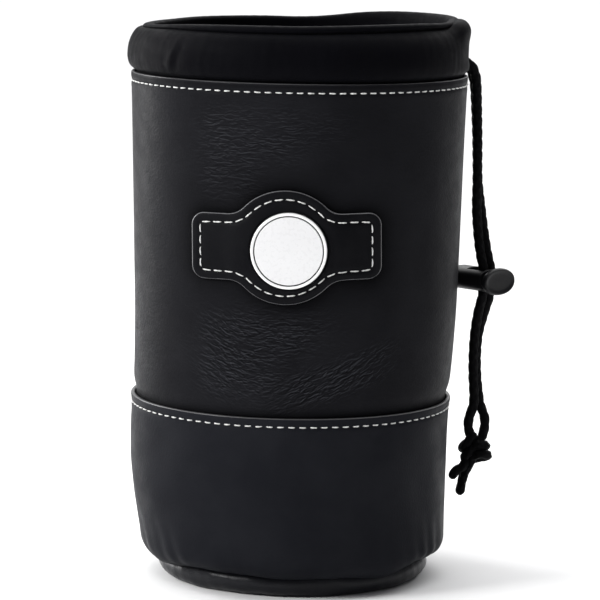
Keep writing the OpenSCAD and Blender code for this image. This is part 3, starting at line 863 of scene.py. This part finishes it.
foam_near = LEATHER + LAYER_GAP
foam_far = foam_near + FOAM
foam_profile = wall_section(WALL_KEYS, foam_near, foam_far, COLLAR_ROOT - LAYER_GAP, soft=0.5)
foam_wall = round_piece("foam_wall", foam_profile, wall_shape(), [foam_grey], 240)
fit(foam_wall, "foam_grey", "pouch", "wall_padding")

# The lining is one cloth cup: floor and wall
lining_near = foam_far + LAYER_GAP
lining_far = lining_near + LINING
up = levels(FLOOR + 3, WALL_TOP - 0.8, coarse=1.6)
cup_out = [(0.6, FLOOR - LINING), *[(r, FLOOR - LINING) for r in np.linspace(4, 43, 24)], (44.2, FLOOR - 0.6),
           (44.7, FLOOR + 1.2), *zip(eased(WALL_KEYS, up) - lining_near, up)]
cup_in = [*zip(eased(WALL_KEYS, up[::-1]) - lining_far, up[::-1]), (43.6, FLOOR + 1.3), (42.6, FLOOR + 0.25),
          *[(r, FLOOR) for r in np.linspace(41.5, 4, 24)], (0.6, FLOOR)]


def lining_shape(theta, r, z):
    """The lining follows the wall, with soft ripples inwards and low hills on its floor."""
    sides = np.clip((r - 38) / 5, 0, 1)
    ripple = waves(theta, z, 12, (4, 7, 11), (40, 70), 0.22) * sides
    hills = waves(theta, r * 1.7, 14, (2, 3, 5), (50, 90), 0.18) * (1 - sides) * np.clip(r / 8, 0, 1)
    inward = np.clip(ripple - 0.25, None, 0)
    return in_place(theta, r + sides * sag(theta, z) + inward, z + np.clip(hills, 0, None) * 0.8)


cloth_cup = round_piece("lining_cup", cup_out + cup_in, lining_shape, [lining_cloth], 300, closed=False)
fit(cloth_cup, "lining_cloth", "pouch", "wall_lining", "base_lining")


# ---- The boot ----

boot_profile = wall_section(BOOT_KEYS, 0, BOOT_LEATHER, BOOT_TOP, (BOOT_SEAM, BOOT_TOP, TUCK_TOP),
                            tuck=(6, 7.7, 83))
boot = round_piece("boot_leather", boot_profile, wall_shape(boot_lines), [boot_leather, leather_edge_paint_and_highlight], 560,
                   face_material=painted_edge(boot_profile, BOOT_TOP))
fit(boot, "leather_black", "pouch", "boot_band")


# ---- The base ----

DISC_R, _, DISC_TOP = cad_box("base_disc")[1]
WELT_RIM, _, WELT_TOP = cad_box("base_welt")[1]
WELT_R = WELT_TOP / 2                        # the welt's own half thickness
WELT_C = WELT_RIM - WELT_R
DISC_PROFILE = [(0.5, 0.45), (12, 0.42), (24, 0.32), (33, 0.12), (36.6, 0), (37.6, 0.1), (38.1, 0.4),
                (38.35, 0.9), (38.2, 1.45), (37.6, DISC_TOP), (24, DISC_TOP), (0.5, DISC_TOP)]


def disc_shape(theta, r, z):
    """The underside of the base is a little wavy inside the ring that it stands on."""
    below = np.clip((DISC_TOP - z) / DISC_TOP, 0, 1) * np.clip((36 - r) / 12, 0, 1)
    return in_place(theta, r, z + waves(theta, r, 21, (3, 5, 9), (30, 50), 0.07) * below)


disc = round_piece("base_leather", smooth_line(DISC_PROFILE, 90), disc_shape, [boot_leather], 300,
                   closed=False)
fit(disc, "leather_black", "pouch", "base_disc")

welt_in = DISC_R + 0.05
inner_edge = math.acos((welt_in - WELT_C) / WELT_R)
welt_profile = np.vstack([arc(WELT_C, WELT_R, WELT_R, -inner_edge, inner_edge, 46),
                          [[welt_in, WELT_TOP * 0.7], [welt_in, WELT_TOP * 0.3]]])


def welt_shape(theta, r, z):
    """Long soft folds, and a few short ones, where the welt's leather is gathered round."""
    over = np.arctan2(z - WELT_R, r - WELT_C)
    bite = np.clip((r - DISC_R - 0.5) / 2, 0, 1)
    slope = theta + 0.05 * over
    long_fold = waves(slope, over * 5, 33, (4, 7, 12, 19), (11, 18), 0.17)
    short_fold = waves(slope, over * 5, 35, (29, 43, 58), (20,), 0.045)
    out = bite * np.clip(long_fold + short_fold, -0.5, 0.24)
    return in_place(theta, r + out * np.cos(over), np.maximum(z + out * np.sin(over), 0.02))


fit(round_piece("welt", welt_profile, welt_shape, [welt_leather], 900), "welt_leather", "pouch", "base_welt")

pad_low, pad_high = cad_box("base_padding")
PAD_LOW, PAD_HIGH, PAD_R = pad_low[2], pad_high[2] - 0.02, pad_high[0]
over_welt = WELT_TOP + 0.12
pad_profile = [(0.5, PAD_LOW), (DISC_R - 0.6, PAD_LOW), (DISC_R - 0.2, PAD_LOW + 0.5),
               (DISC_R - 0.2, WELT_TOP), (DISC_R + 0.3, over_welt), (PAD_R - 0.3, over_welt),
               (PAD_R, (WELT_TOP + pad_high[2]) / 2 + 0.05), (PAD_R - 0.3, PAD_HIGH), (20, PAD_HIGH),
               (0.5, PAD_HIGH)]
foam_base = round_piece("foam_base", pad_profile, in_place, [foam_grey], 160, closed=False)
fit(foam_base, "foam_grey", "pouch", "base_padding")


# ---- The collar: one strip of nylon, folded over into a cuff with a channel for the drawcord ----

# How much higher the crease under the lip and the lip itself stand: direction, height
CUFF_KEYS = [(203, -0.3), (220, 0.1), (244, -0.3), (273, -0.3), (287, 0), (302, 0.4), (320, 0.7), (342, 0.7),
             (10, 1.2), (40, 1.2), (70, 0.2), (90, -0.9), (120, -0.9), (150, -1.2), (180, -0.9)]
LIP_KEYS = [(192, -2.2), (203, -1.9), (214, -1.5), (225, -1.0), (242, -0.6), (258, -0.4), (273, -0.3),
            (288, 0), (304, 0.3), (323, 0.4), (343, 0.1), (4, 0.9), (34, 0.8), (52, 0.8), (65, 0.3),
            (74, -0.5), (82, -1.5), (93, -2.1), (110, -1.8), (130, -1.8), (141, -1.9), (150, -2.3),
            (172, -2.4)]
# Folds in the cuff: direction, half width in degrees, depth, slant
CUFF_FOLDS = [(226.5, 1.5, 0.32, 0.3), (229.5, 1.6, -0.25, 0.3), (0, 26, -1.3, 0), (252, 5, 0.12, -0.3),
              (300, 6, -0.12, -0.2), (60, 4, -0.4, 0.2), (110, 4, 0.3, -0.2), (160, 5, -0.4, 0.3),
              (195, 5, 0.25, 0)]
NYLON = 0.45


def from_edge(base, *places):
    """Points of a section, out from the wall's top edge and up from a base height."""
    return [(WALL_TOP_R + x, base + z) for x, z in places]


# The strip's middle line from its outer sewn edge, up, over the lip and down inside
STRIP = [*from_edge(COLLAR_ROOT, (-2.0, 0.4)),
         *from_edge(WALL_TOP, (-1.95, -1.6), (-1.6, 0.1), (-0.5, 1.0), (0.6, 2.4), (1.2, 5.0), (0.9, 8.4),
                    (-0.1, 11.2), (-1.5, 13.3), (-3.2, 14.5), (-4.6, 14.9)),
         *from_edge(LIP, (-4.9, -2.3), (-3.9, -1.8), (-3.7, -1.1), (-4.3, -0.4), (-5.6, -0.2), (-6.8, -0.8),
                    (-7.35, -2.4)),
         *from_edge(WALL_TOP, (-7.2, 11), (-6.1, 5), (-4.8, 0.8), (-3.5, -0.5), (-3.0, -2.2)),
         *from_edge(COLLAR_ROOT, (-2.95, 0.4))]
strip = smooth_line(STRIP, 190)
strip_run = distances(strip)
STRIP_WIDTH = line_length(strip)
tangent = np.gradient(strip, axis=0)
tangent /= np.linalg.norm(tangent, axis=1)[:, None]
strip_out = np.stack([tangent[:, 1], -tangent[:, 0]], 1)     # away from the channel
bulge_run = float(strip_run[np.argmax(strip[:, 0])])
lip_run = float(strip_run[np.argmax(strip[:, 1])])
crease_run = lip_run - 4.2


def cuff_point(theta, run):
    """A point of the cuff, by its direction and the distance along the strip."""
    r, z, nr, nz = (np.interp(run, strip_run, values) for values in (*strip.T, *strip_out.T))
    free = soft_box(run, 9, STRIP_WIDTH - 9, 1.2)
    rise = (round_the_cup(LIP_KEYS, theta) * bump_at(run, lip_run, 3.6)
            + round_the_cup(CUFF_KEYS, theta) * bump_at(run, crease_run, 2.6))
    slow = waves(theta, 0 * run, 40, (2, 3, 5), (1.0,), 0.2)
    drift = theta + 0.05 * np.sin(2 * theta)
    tucks = (np.abs(np.sin(33 * drift + 1.3 * np.sin(4 * theta))) ** 1.5
             * (0.5 + 0.5 * np.sin(5 * theta + 1)) ** 2 * 0.13)
    small = waves(theta, run, 44, (61, 78, 97), (30, 50), 0.02)
    folds = sum(depth * bump_at(turn_from(theta, direction) - slant * (run - bulge_run), 0, wide)
                for direction, wide, depth, slant in CUFF_FOLDS)
    push = free * (slow * 0.7 + folds * bump_at(run, bulge_run, 5.5)
                   - tucks * bump_at(run, bulge_run - 5, 3.2) + small)
    # It hangs out over the drawcord's exit, and is drawn in under the bulge
    lobe = 3.2 * np.exp(-(turn_from(theta, 356) / 13) ** 4) * bump_at(run, crease_run - 2.6, 3)
    push = push + lobe - 0.25 * bump_at(run, bulge_run - 5.6, 1.6)
    r = r + nr * push
    return np.stack([r * np.cos(theta), r * np.sin(theta), z + rise + nz * push], -1)


COLLAR_COLUMNS = 620
collar_grid = cuff_point((TAU / 4 + full_turn(COLLAR_COLUMNS))[None, :], strip_run[:, None])
collar = grid_piece("collar_cuff_nylon", collar_grid, [nylon],
                    flat_grid(TAU * WALL_TOP_R, COLLAR_COLUMNS, strip_run), wrap=False)

# The bound slot where both tails of the drawcord leave
SLOT_TURN = math.radians(19.6)
SLOT_HALF, SLOT_RISE = 3.5, 1.95
SLOT_RUN = float(np.interp(WALL_TOP + 3.25, strip[:60, 1], strip_run[:60]))


def cut_exit():
    row, col = np.divmod(np.arange(len(collar.data.polygons)), COLLAR_COLUMNS)
    theta = TAU / 4 + TAU * (col + 0.5) / COLLAR_COLUMNS
    aside = np.radians(turn_from(theta, math.degrees(SLOT_TURN))) * WALL_TOP_R
    along = (strip_run[row] + strip_run[row + 1]) / 2 - SLOT_RUN
    inside = (aside / SLOT_HALF) ** 2 + (along / SLOT_RISE) ** 2 < 1
    shape = bmesh.new()
    shape.from_mesh(collar.data)
    shape.faces.ensure_lookup_table()
    bmesh.ops.delete(shape, geom=[shape.faces[k] for k in np.flatnonzero(inside)], context="FACES")
    shape.to_mesh(collar.data)
    shape.free()


cut_exit()
paint(collar, "pucker", 0.25 + 0.9 * bump_at(points_of(collar)[:, 2], WALL_TOP + 3, 6))
thicken = collar.modifiers.new("nylon", "SOLIDIFY")
thicken.thickness = NYLON * MM
thicken.offset = 0
thicken.use_rim = True
fit(collar, "nylon_black", "pouch", "collar_cuff")


def twisted_ring(name, line, radius, material, sides=12, ply=0.1, pitch=0.9):
    """A twisted round strand along a closed line."""
    ahead = np.roll(line, -1, 0) - np.roll(line, 1, 0)
    ahead /= np.linalg.norm(ahead, axis=1)[:, None]
    across = line - line.mean(0)
    across -= ahead * np.einsum("ij,ij->i", across, ahead)[:, None]
    across /= np.linalg.norm(across, axis=1)[:, None]
    run = distances(np.vstack([line, line[:1]]))
    turn = full_turn(sides)
    r = radius * (1 + ply * np.cos(2 * turn[None, :] - TAU * run[:-1, None] / pitch))
    grid = rings_along(line, across, np.cross(ahead, across), turn, r[..., None])
    return grid_piece(name, grid, [material], flat_grid(TAU * radius, sides, run))


around = full_turn(90)
slot_edge = cuff_point(SLOT_TURN + (SLOT_HALF + 0.15) * np.cos(around) / WALL_TOP_R,
                       SLOT_RUN + (SLOT_RISE + 0.15) * np.sin(around))
binding = twisted_ring("exit_binding", slot_edge, 0.5, nylon)
paint(binding, "pucker", np.full(len(binding.data.vertices), 0.4))
fit(binding, "nylon_black", "pouch")


# ---- The badge ----

def badge_place(x, z, out):
    """A point of the badge, from its flat place and its height above the wall."""
    height = BADGE_Z + z * math.cos(BADGE_TURN) + x * math.sin(BADGE_TURN)
    x = (x * math.cos(BADGE_TURN) - z * math.sin(BADGE_TURN)) * 1.01 + BADGE_X
    r = eased(WALL_KEYS, height) + out
    for _ in range(2):
        theta = 0.75 * TAU + np.arcsin(np.clip(x / r, -1, 1))
        r = eased(WALL_KEYS, height) + sag(theta, height) + out
    return wall_point(theta, height, out)


rim_line = badge_loop(0, 720)
fine_rim = badge_loop(0, 2400)
hole_x, hole_z = COIN_X - BADGE_X, COIN_Z - BADGE_Z
angle = np.arctan2(rim_line[:, 1], rim_line[:, 0])
dx, dz = np.cos(angle), np.sin(angle)
hole_at = hole_x * dx + hole_z * dz + np.sqrt(HOLE_R ** 2 - (hole_x * dz - hole_z * dx) ** 2)
hole_line = np.stack([hole_at * dx, hole_at * dz], 1)
shares = np.concatenate([np.linspace(0, 0.12, 6, endpoint=False), np.linspace(0.12, 0.9, 34, endpoint=False),
                         np.linspace(0.9, 1, 12)])[:, None, None]
flat_top = hole_line * (1 - shares) + rim_line * shares


def to_edge(points):
    """The distance of flat places from the badge's edge, in blocks that fit in memory."""
    flat = points.reshape(-1, 2)
    blocks = (flat[k:k + 4000, None] for k in range(0, len(flat), 4000))
    found = [np.sqrt(((block - fine_rim[None]) ** 2).sum(-1).min(1)) for block in blocks]
    return np.concatenate(found).reshape(points.shape[:-1])


def badge_height(points):
    """The badge's face above the wall: rounded at its edge, drawn in at its seam, raised round the seat."""
    x, z = points[..., 0], points[..., 1]
    d = to_edge(points)
    soft = 0.75
    high = BADGE_T - soft * 0.8 * (1 - np.sqrt(1 - np.clip(1 - d / soft, 0, 1) ** 2))
    high = (high - 0.3 * bump_at(d, BADGE_INSET, 0.6) + 0.08 * bump_at(d, 1.2, 0.8)
            + 0.1 * bump_at(d, 4.6, 1.3))
    away = np.hypot(x - hole_x, z - hole_z) - HOLE_R
    reach = 0.5 + 0.5 * np.cos(math.pi * np.clip(away / 10, 0, 1))
    r_mid = eased(WALL_KEYS, BADGE_Z + z) + BADGE_T
    face_y = np.sqrt(r_mid ** 2 - x ** 2)
    wanted = SEAT_FRONT - 0.9 - 0.3 * bump_at(away, 0, 0.35)
    lift = np.clip(wanted - face_y, -0.3, 3) * reach * r_mid / np.maximum(face_y, 1)
    ripple = waves(np.arctan2(z, x), 0 * d, 61, (3, 5, 8, 13), (1.0,), 0.05) * np.clip(d / 2, 0, 1)
    return high + lift + ripple + 0.45 * np.clip((np.abs(x) - 22) / 7, 0, 1) ** 2


under_hole = badge_height(hole_line) - 0.75
badge_grid = np.concatenate([
    badge_place(*np.moveaxis(flat_top, -1, 0), badge_height(flat_top)),
    [badge_place(*rim_line.T, badge_height(rim_line) * 0.5), badge_place(*(rim_line * 0.965).T, 0.08),
     badge_place(*(rim_line * 0.5 + hole_line * 0.5).T, 0.08),
     badge_place(*(hole_line * 0.85 + rim_line * 0.15).T, np.maximum(under_hole - 0.4, 0.08)),
     badge_place(*hole_line.T, under_hole)]])
badge_flat = np.concatenate([flat_top, [rim_line * grow for grow in (1.02, 1.05, 1.2, 1.3, 1.4)]])
badge_flat = np.pad(badge_flat, ((0, 1), (0, 1), (0, 0)), mode="wrap")
# Faces near the badge's edge get the edge paint with its painted highlight
edge_faces = np.zeros(badge_grid.shape[:2], int)
edge_faces[:len(flat_top)] = to_edge(flat_top) < 0.2
edge_faces[len(flat_top) - 1:len(flat_top) + 1] = 1
badge = grid_piece("badge_leather", badge_grid, [patch_leather, badge_edge_paint_and_highlight], badge_flat,
                   face_material=edge_faces.ravel())
fit(badge, "leather_black", "pouch", "badge_patch")


# ---- The marker and its seat: round pieces about the marker's axis ----

def marker_piece(name, section, materials, columns=160, face_material=None):
    """section is (radius, distance in front of the cup's axis) pairs, from the back to the front."""
    section = np.array(section)
    t = full_turn(columns)
    r, out = section[:, :1], section[:, 1:]
    grid = np.stack([COIN_X + r * np.cos(t), -out + 0 * t, COIN_Z + r * np.sin(t)], -1)
    tags = None if face_material is None else np.repeat(face_material, columns)
    uv = flat_grid(TAU * section[:, 0].max(), columns, distances(section))
    return grid_piece(name, grid, materials, uv, wrap=False, caps=True, face_material=tags)


def turned_edge(r, out, soft, way):
    """A rounded rim at radius r and distance out; way is +1 for a front edge and -1 for a back one."""
    t = np.linspace(0, TAU / 4, 6)
    return [(r - soft + soft * math.cos(a), out + way * (soft * math.sin(a) - soft)) for a in t][::way]


MIDDLE_R = 0.4                               # a section starts and ends this near its axis
RIM = 0.9
GROOVE = 0.34
recess = SEAT_FRONT - 0.92
seat_step = SEAT_BACK + 1.02                 # the magnet's pocket, behind
seat_section = [(MIDDLE_R, seat_step), (5.1, seat_step), (5.1, SEAT_BACK),
                *turned_edge(SEAT_SHOWN_R, SEAT_BACK, 0.2, -1), *turned_edge(SEAT_SHOWN_R, recess, 0.3, 1),
                (MIDDLE_R, recess)]
seat = marker_piece("marker_seat", seat_section, [seat_plastic])
fit(seat, "lock_plastic", "pouch", "badge_seat")

floor_out = COIN_FRONT - 0.7
rim_in = COIN_R - RIM
coin_section = [(MIDDLE_R, COIN_BACK), *turned_edge(COIN_R, COIN_BACK, 0.25, -1),
                *turned_edge(COIN_R, COIN_FRONT, 0.32, 1), (rim_in + 0.1, COIN_FRONT),
                (rim_in + 0.02, COIN_FRONT - 0.05), (rim_in, COIN_FRONT - 0.14), (rim_in, floor_out),
                (rim_in - 2 * GROOVE, floor_out), (MIDDLE_R, floor_out)]
# The groove's floor gets the painted shade
in_groove = np.zeros(len(coin_section) - 1, int)
in_groove[-3:-1] = 1
coin = marker_piece("marker_coin_body", coin_section, [rim_white, painted_groove_shade], 240, in_groove)
fit(coin, "marker_rim", "marker", "marker_coin")

face_r = rim_in - GROOVE
dome = [(r, COIN_FRONT - 0.1 + 0.16 * (1 - (r / face_r) ** 2))
        for r in np.linspace(face_r - 0.3, MIDDLE_R, 14)]
face_section = [(MIDDLE_R, floor_out + 0.01), (face_r, floor_out + 0.01),
                *turned_edge(face_r, COIN_FRONT - 0.09, 0.22, 1), *dome]
enamel = marker_piece("marker_face", face_section, [face_white], 240)
fit(enamel, "marker_white", "marker", "marker_enamel")


# ---- The stitching ----

THREAD_R = 0.21
BADGE_STITCH, BACK_STITCH = 2.64, 2.4        # the length of a stitch in these two seams
ABOVE = 0.3                                  # how far a stitch's middle line lies above the leather


def stitch_seam(name, stitches, node):
    """stitches is a list of (start, end, outward direction) for each short stitch."""
    sides, rings = 12, 13
    turn = full_turn(sides)
    share = np.linspace(0, 1, rings)
    all_points, all_faces, all_uv = [], [], []
    pick = np.random.default_rng(7)
    for start, end, out in stitches:
        length = np.linalg.norm(end - start)
        side = np.cross(out, (end - start) / length)
        skew = pick.uniform(-0.06, 0.06)
        sink = -0.36 * np.abs(2 * share - 1) ** 3.2 + 0.06
        line = (start + (end - start) * share[:, None] + out * sink[:, None]
                + side * skew * (2 * share[:, None] - 1))
        phase = pick.uniform(0, TAU)
        taper = np.sqrt(np.clip(1 - np.abs(2 * share - 1) ** 6, 0.08, 1))
        ply = 1 + 0.16 * np.cos(2 * turn[None] - TAU * share[:, None] * length / 1.5 + phase)
        base = len(all_points) * rings * sides
        r = THREAD_R * taper[:, None] * ply
        all_points.append(rings_along(line, side[None], out[None], turn, r[..., None]).reshape(-1, 3))
        for i in range(rings - 1):
            v, w = share[i] * length, share[i + 1] * length
            a, b = base + i * sides, base + (i + 1) * sides
            for j in range(sides):
                k = (j + 1) % sides
                all_faces.append([a + j, a + k, b + k, b + j])
                u, u2 = j * 0.18, (j + 1) * 0.18
                all_uv += [(u, v), (u2, v), (u2, w), (u, w)]
        first = [base + j for j in range(sides)]
        all_faces += [first[::-1], [(rings - 1) * sides + j for j in first]]
        all_uv += [(0, 0)] * (2 * sides)
    seam = add_piece(name, np.vstack(all_points), all_faces, [thread], np.array(all_uv))
    shape = bmesh.new()
    shape.from_mesh(seam.data)
    if shape.calc_volume(signed=True) < 0:
        bmesh.ops.reverse_faces(shape, faces=shape.faces[:])
        shape.to_mesh(seam.data)
    shape.free()
    fit(seam, "thread_white", "pouch", node)


def seam_point(keys, lines, theta, z):
    """A point on the outside of a layer of the wall."""
    r = float(eased(keys, np.array(z)))
    return wall_shape(lines)(np.array([[theta]]), np.array([[r]]), np.array([[z]]))[0, 0]


def ring_of_stitches(keys, lines, z, count):
    made = []
    half = STITCH_LENGTH / 2 / eased(keys, np.array(z))
    for k in range(count):
        middle = TAU * (k + 0.5) / count
        out = np.array([math.cos(middle), math.sin(middle), 0])
        ends = [seam_point(keys, lines, middle + way * half, z) + out * ABOVE for way in (-1, 1)]
        made.append((*ends, out))
    return made


def badge_stitches():
    quarter = np.vstack([badge_quarter(BADGE_INSET), [[BADGE_HALF_W - BADGE_INSET, 0]]])
    run = distances(quarter)
    count = round(run[-1] / STITCH_PITCH)
    made = []
    for sx, sz in ((1, 1), (1, -1), (-1, -1), (-1, 1)):
        for k in range(count):
            ends = []
            for way in (-1, 1):
                s = run[-1] / count * (k + 0.5) + way * BADGE_STITCH / 2
                flat = np.array([sx, sz]) * [np.interp(s, run, side) for side in quarter.T]
                ends.append(badge_place(*flat, badge_height(flat[None])[0] + ABOVE))
            out = (ends[0] + ends[1]) * [1, 1, 0]
            made.append((*ends, out / np.linalg.norm(out)))
    return made


def back_stitches():
    low = BOOT_TOP + 7.3
    out = np.array([0, 1.0, 0])
    half = BACK_STITCH / 2 / WALL_TOP_R
    made = []
    for k in range(int((TOP_SEAM - 3 - low) / STITCH_PITCH)):
        z = low + STITCH_PITCH * (k + 0.5)
        ends = [seam_point(WALL_KEYS, wall_lines, TAU / 4 + way * half, z) + out * ABOVE for way in (-1, 1)]
        made.append((*ends, out))
    return made


stitch_seam("top_stitches", ring_of_stitches(WALL_KEYS, wall_lines, TOP_SEAM, 102), "top_stitching")
stitch_seam("boot_stitches", ring_of_stitches(BOOT_KEYS, boot_lines, BOOT_SEAM, 94), "boot_stitching")
stitch_seam("badge_stitches", badge_stitches(), "badge_stitching")
stitch_seam("back_stitches", back_stitches(), "back_seam_stitching")


# ---- The cord lock ----

LOCK = np.array([61.75, 21.9, 94.2])
LOCK_TURN = math.radians(-45)
LOCK_WAY = (math.cos(LOCK_TURN), math.sin(LOCK_TURN), 0)     # the way the button points


def lock_place(local):
    """Local points: along the button's direction, across it and up."""
    c, n, _ = LOCK_WAY
    x, y, z = np.moveaxis(local, -1, 0)
    return np.stack([x * c - y * n, x * n + y * c, z], -1) + LOCK


def oval_piece(name, sections, power):
    """A loft through ovals; each section is (along, half width, half height)."""
    turn = full_turn(96)
    c, n = np.cos(turn), np.sin(turn)
    rings = [np.stack([np.full(len(turn), x), w * np.sign(c) * np.abs(c) ** (2 / power),
                       h * np.sign(n) * np.abs(n) ** (2 / power)], -1) for x, w, h in sections]
    return grid_piece(name, lock_place(np.array(rings)), [lock_plastic], wrap=False, caps=True)


def cut_slot(piece, low, high):
    """Cuts the slot for the two cords down through a part of the lock."""
    corner = np.array([[x, y, z] for x in (low, high) for y in (-3.4, 3.4) for z in (-8, 8)])
    sides = [[0, 1, 3, 2], [4, 6, 7, 5], [0, 4, 5, 1], [2, 3, 7, 6], [0, 2, 6, 4], [1, 5, 7, 3]]
    cutter = add_piece("cutter", lock_place(corner), sides, smooth=False)
    cut = piece.modifiers.new("slot", "BOOLEAN")
    cut.object = cutter
    cut.operation = "DIFFERENCE"
    cut.solver = "EXACT"
    whole = bpy.data.meshes.new_from_object(piece.evaluated_get(bpy.context.evaluated_depsgraph_get()))
    piece.modifiers.clear()
    piece.data = whole
    bpy.data.objects.remove(cutter)


def crisp(piece):
    """Keeps the edges of a moulded part sharp, and its curves smooth."""
    piece.data.polygons.foreach_set("use_smooth", [True] * len(piece.data.polygons))
    piece.data.set_sharp_from_angle(angle=math.radians(38))


barrel = oval_piece("lock_body", [(-13.3, 4.5, 2.5), (-13.2, 5.1, 3.1), (-12.9, 5.55, 3.5),
                                  (-12.3, 5.8, 3.75), (-11, 5.8, 3.75), (2.1, 5.8, 3.75), (2.4, 5.68, 3.63),
                                  (2.5, 5.45, 3.4), (2.4, 5.1, 3.05), (2, 5, 2.95), (-12.4, 5, 2.95)], 2.7)
cut_slot(barrel, -6.1, 1.75)
stem = oval_piece("lock_stem", [(-3.25, 4.5, 2.4), (-3.1, 4.7, 2.65), (4.45, 4.7, 2.65)], 2.7)
cut_slot(stem, -1.75, 4.2)
head = oval_piece("lock_head", [(4.3, 6.2, 3.8), (4.4, 6.7, 4.2), (4.75, 7.0, 4.45), (5.6, 7.0, 4.45),
                                (6.05, 6.85, 4.3), (6.28, 6.6, 4.05), (6.3, 6.3, 3.8), (6.22, 6.0, 3.5),
                                (6.05, 5.6, 3.2), (5.98, 4.8, 2.7), (6.0, 2.5, 1.4), (6.02, 0.3, 0.2)], 2.1)
for piece in (barrel, head, stem):
    crisp(piece)
fit(barrel, "lock_plastic", "cord_lock", "lock_barrel")
fit(head, "lock_plastic", "button", "lock_button")
fit(stem, "lock_plastic", "button")

SPRING_BACK, SPRING_FRONT = -11.6, -3.75     # along the button's direction
SPRING_LENGTH = SPRING_FRONT - SPRING_BACK
SPRING_R, WIRE_R, SPRING_TURNS = 1.9, 0.33, 5


def coil_piece(name, material, sides=12, steps=200):
    """The spring behind the button, its end turns closed up flat."""
    share = np.linspace(0, 1, steps + 1)
    t = TAU * SPRING_TURNS * share
    along = SPRING_BACK + SPRING_LENGTH * np.clip((share - 0.1) / 0.8, 0, 1)
    line = lock_place(np.stack([along, SPRING_R * np.cos(t), SPRING_R * np.sin(t)], -1))
    _, across, up = frames_along(line)
    grid = rings_along(line, across, up, full_turn(sides), WIRE_R)
    uv = flat_grid(TAU * WIRE_R, sides, share * line_length(line))
    return grid_piece(name, grid, [material], uv, wrap=False, caps=True)


spring = coil_piece("spring_coil", spring_steel)
fit(spring, "spring_steel", "cord_lock", "lock_spring")
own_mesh(spring)


# ---- The CAD nodes that stay in sight ----

def finish_node(name, material):
    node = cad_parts[name]
    node.data.materials.clear()
    node.data.materials.append(material)


finish_node("badge_magnet", magnet_metal)
finish_node("base_board", board_brown)


# ---- Floor and light; lengths here are in metres ----

def add_floor(half=30):
    corners = np.array([[x * half, y * half, 0] for x, y in ((-1, -1), (1, -1), (1, 1), (-1, 1))]) / MM
    pale = Shader("pale_floor", (0.85, 0.85, 0.85), 0.9)
    pale.color_between(pale.noise(pale.space(), 3, 2), (0.84, 0.84, 0.84), (0.86, 0.86, 0.86))
    floor = add_piece("floor", corners, [[0, 1, 2, 3]], [pale.material])
    floor.location.z = -0.02 * MM


def add_light(name, data, turn, place=(0, 0, 0)):
    lamp = bpy.data.objects.new(name, data)
    lamp.location = place
    lamp.rotation_mode = "QUATERNION"
    lamp.rotation_quaternion = Vector(turn).to_track_quat("-Z", "Y")
    bpy.context.scene.collection.objects.link(lamp)


def add_panel(name, place, power, size, size_y=None):
    """A soft box that shines at the pouch's middle."""
    data = bpy.data.lights.new(name, "AREA")
    data.energy = power
    data.size = size
    if size_y:
        data.shape = "RECTANGLE"
        data.size_y = size_y
    add_light(name, data, Vector((0, 0, 0.1)) - Vector(place), place)


def add_sky(name, elevation, strength, spread):
    """A broad soft light from far off, behind the cup."""
    data = bpy.data.lights.new(name, "SUN")
    data.energy = strength
    data.angle = math.radians(spread)
    e = math.radians(elevation)
    add_light(name, data, (0, -math.cos(e), -math.sin(e)))


add_floor()
add_sky("sky", 60, 3.65, 90)
add_panel("left_panel", (-1.0, -0.6, 0.7), 14, 0.4)
add_panel("side_panel", (-0.87, 0.5, 0.3), 9, 0.4, 0.9)
add_panel("top_panel", (-0.25, -0.8, 1.4), 2.2, 0.6)

world = bpy.data.worlds.new("world")
bpy.context.scene.world = world
world.use_nodes = True
world.node_tree.nodes["Background"].inputs["Color"].default_value = (0.19, 0.19, 0.2, 1)
view = bpy.context.scene.view_settings
view.view_transform = "Standard"
view.look = "None"
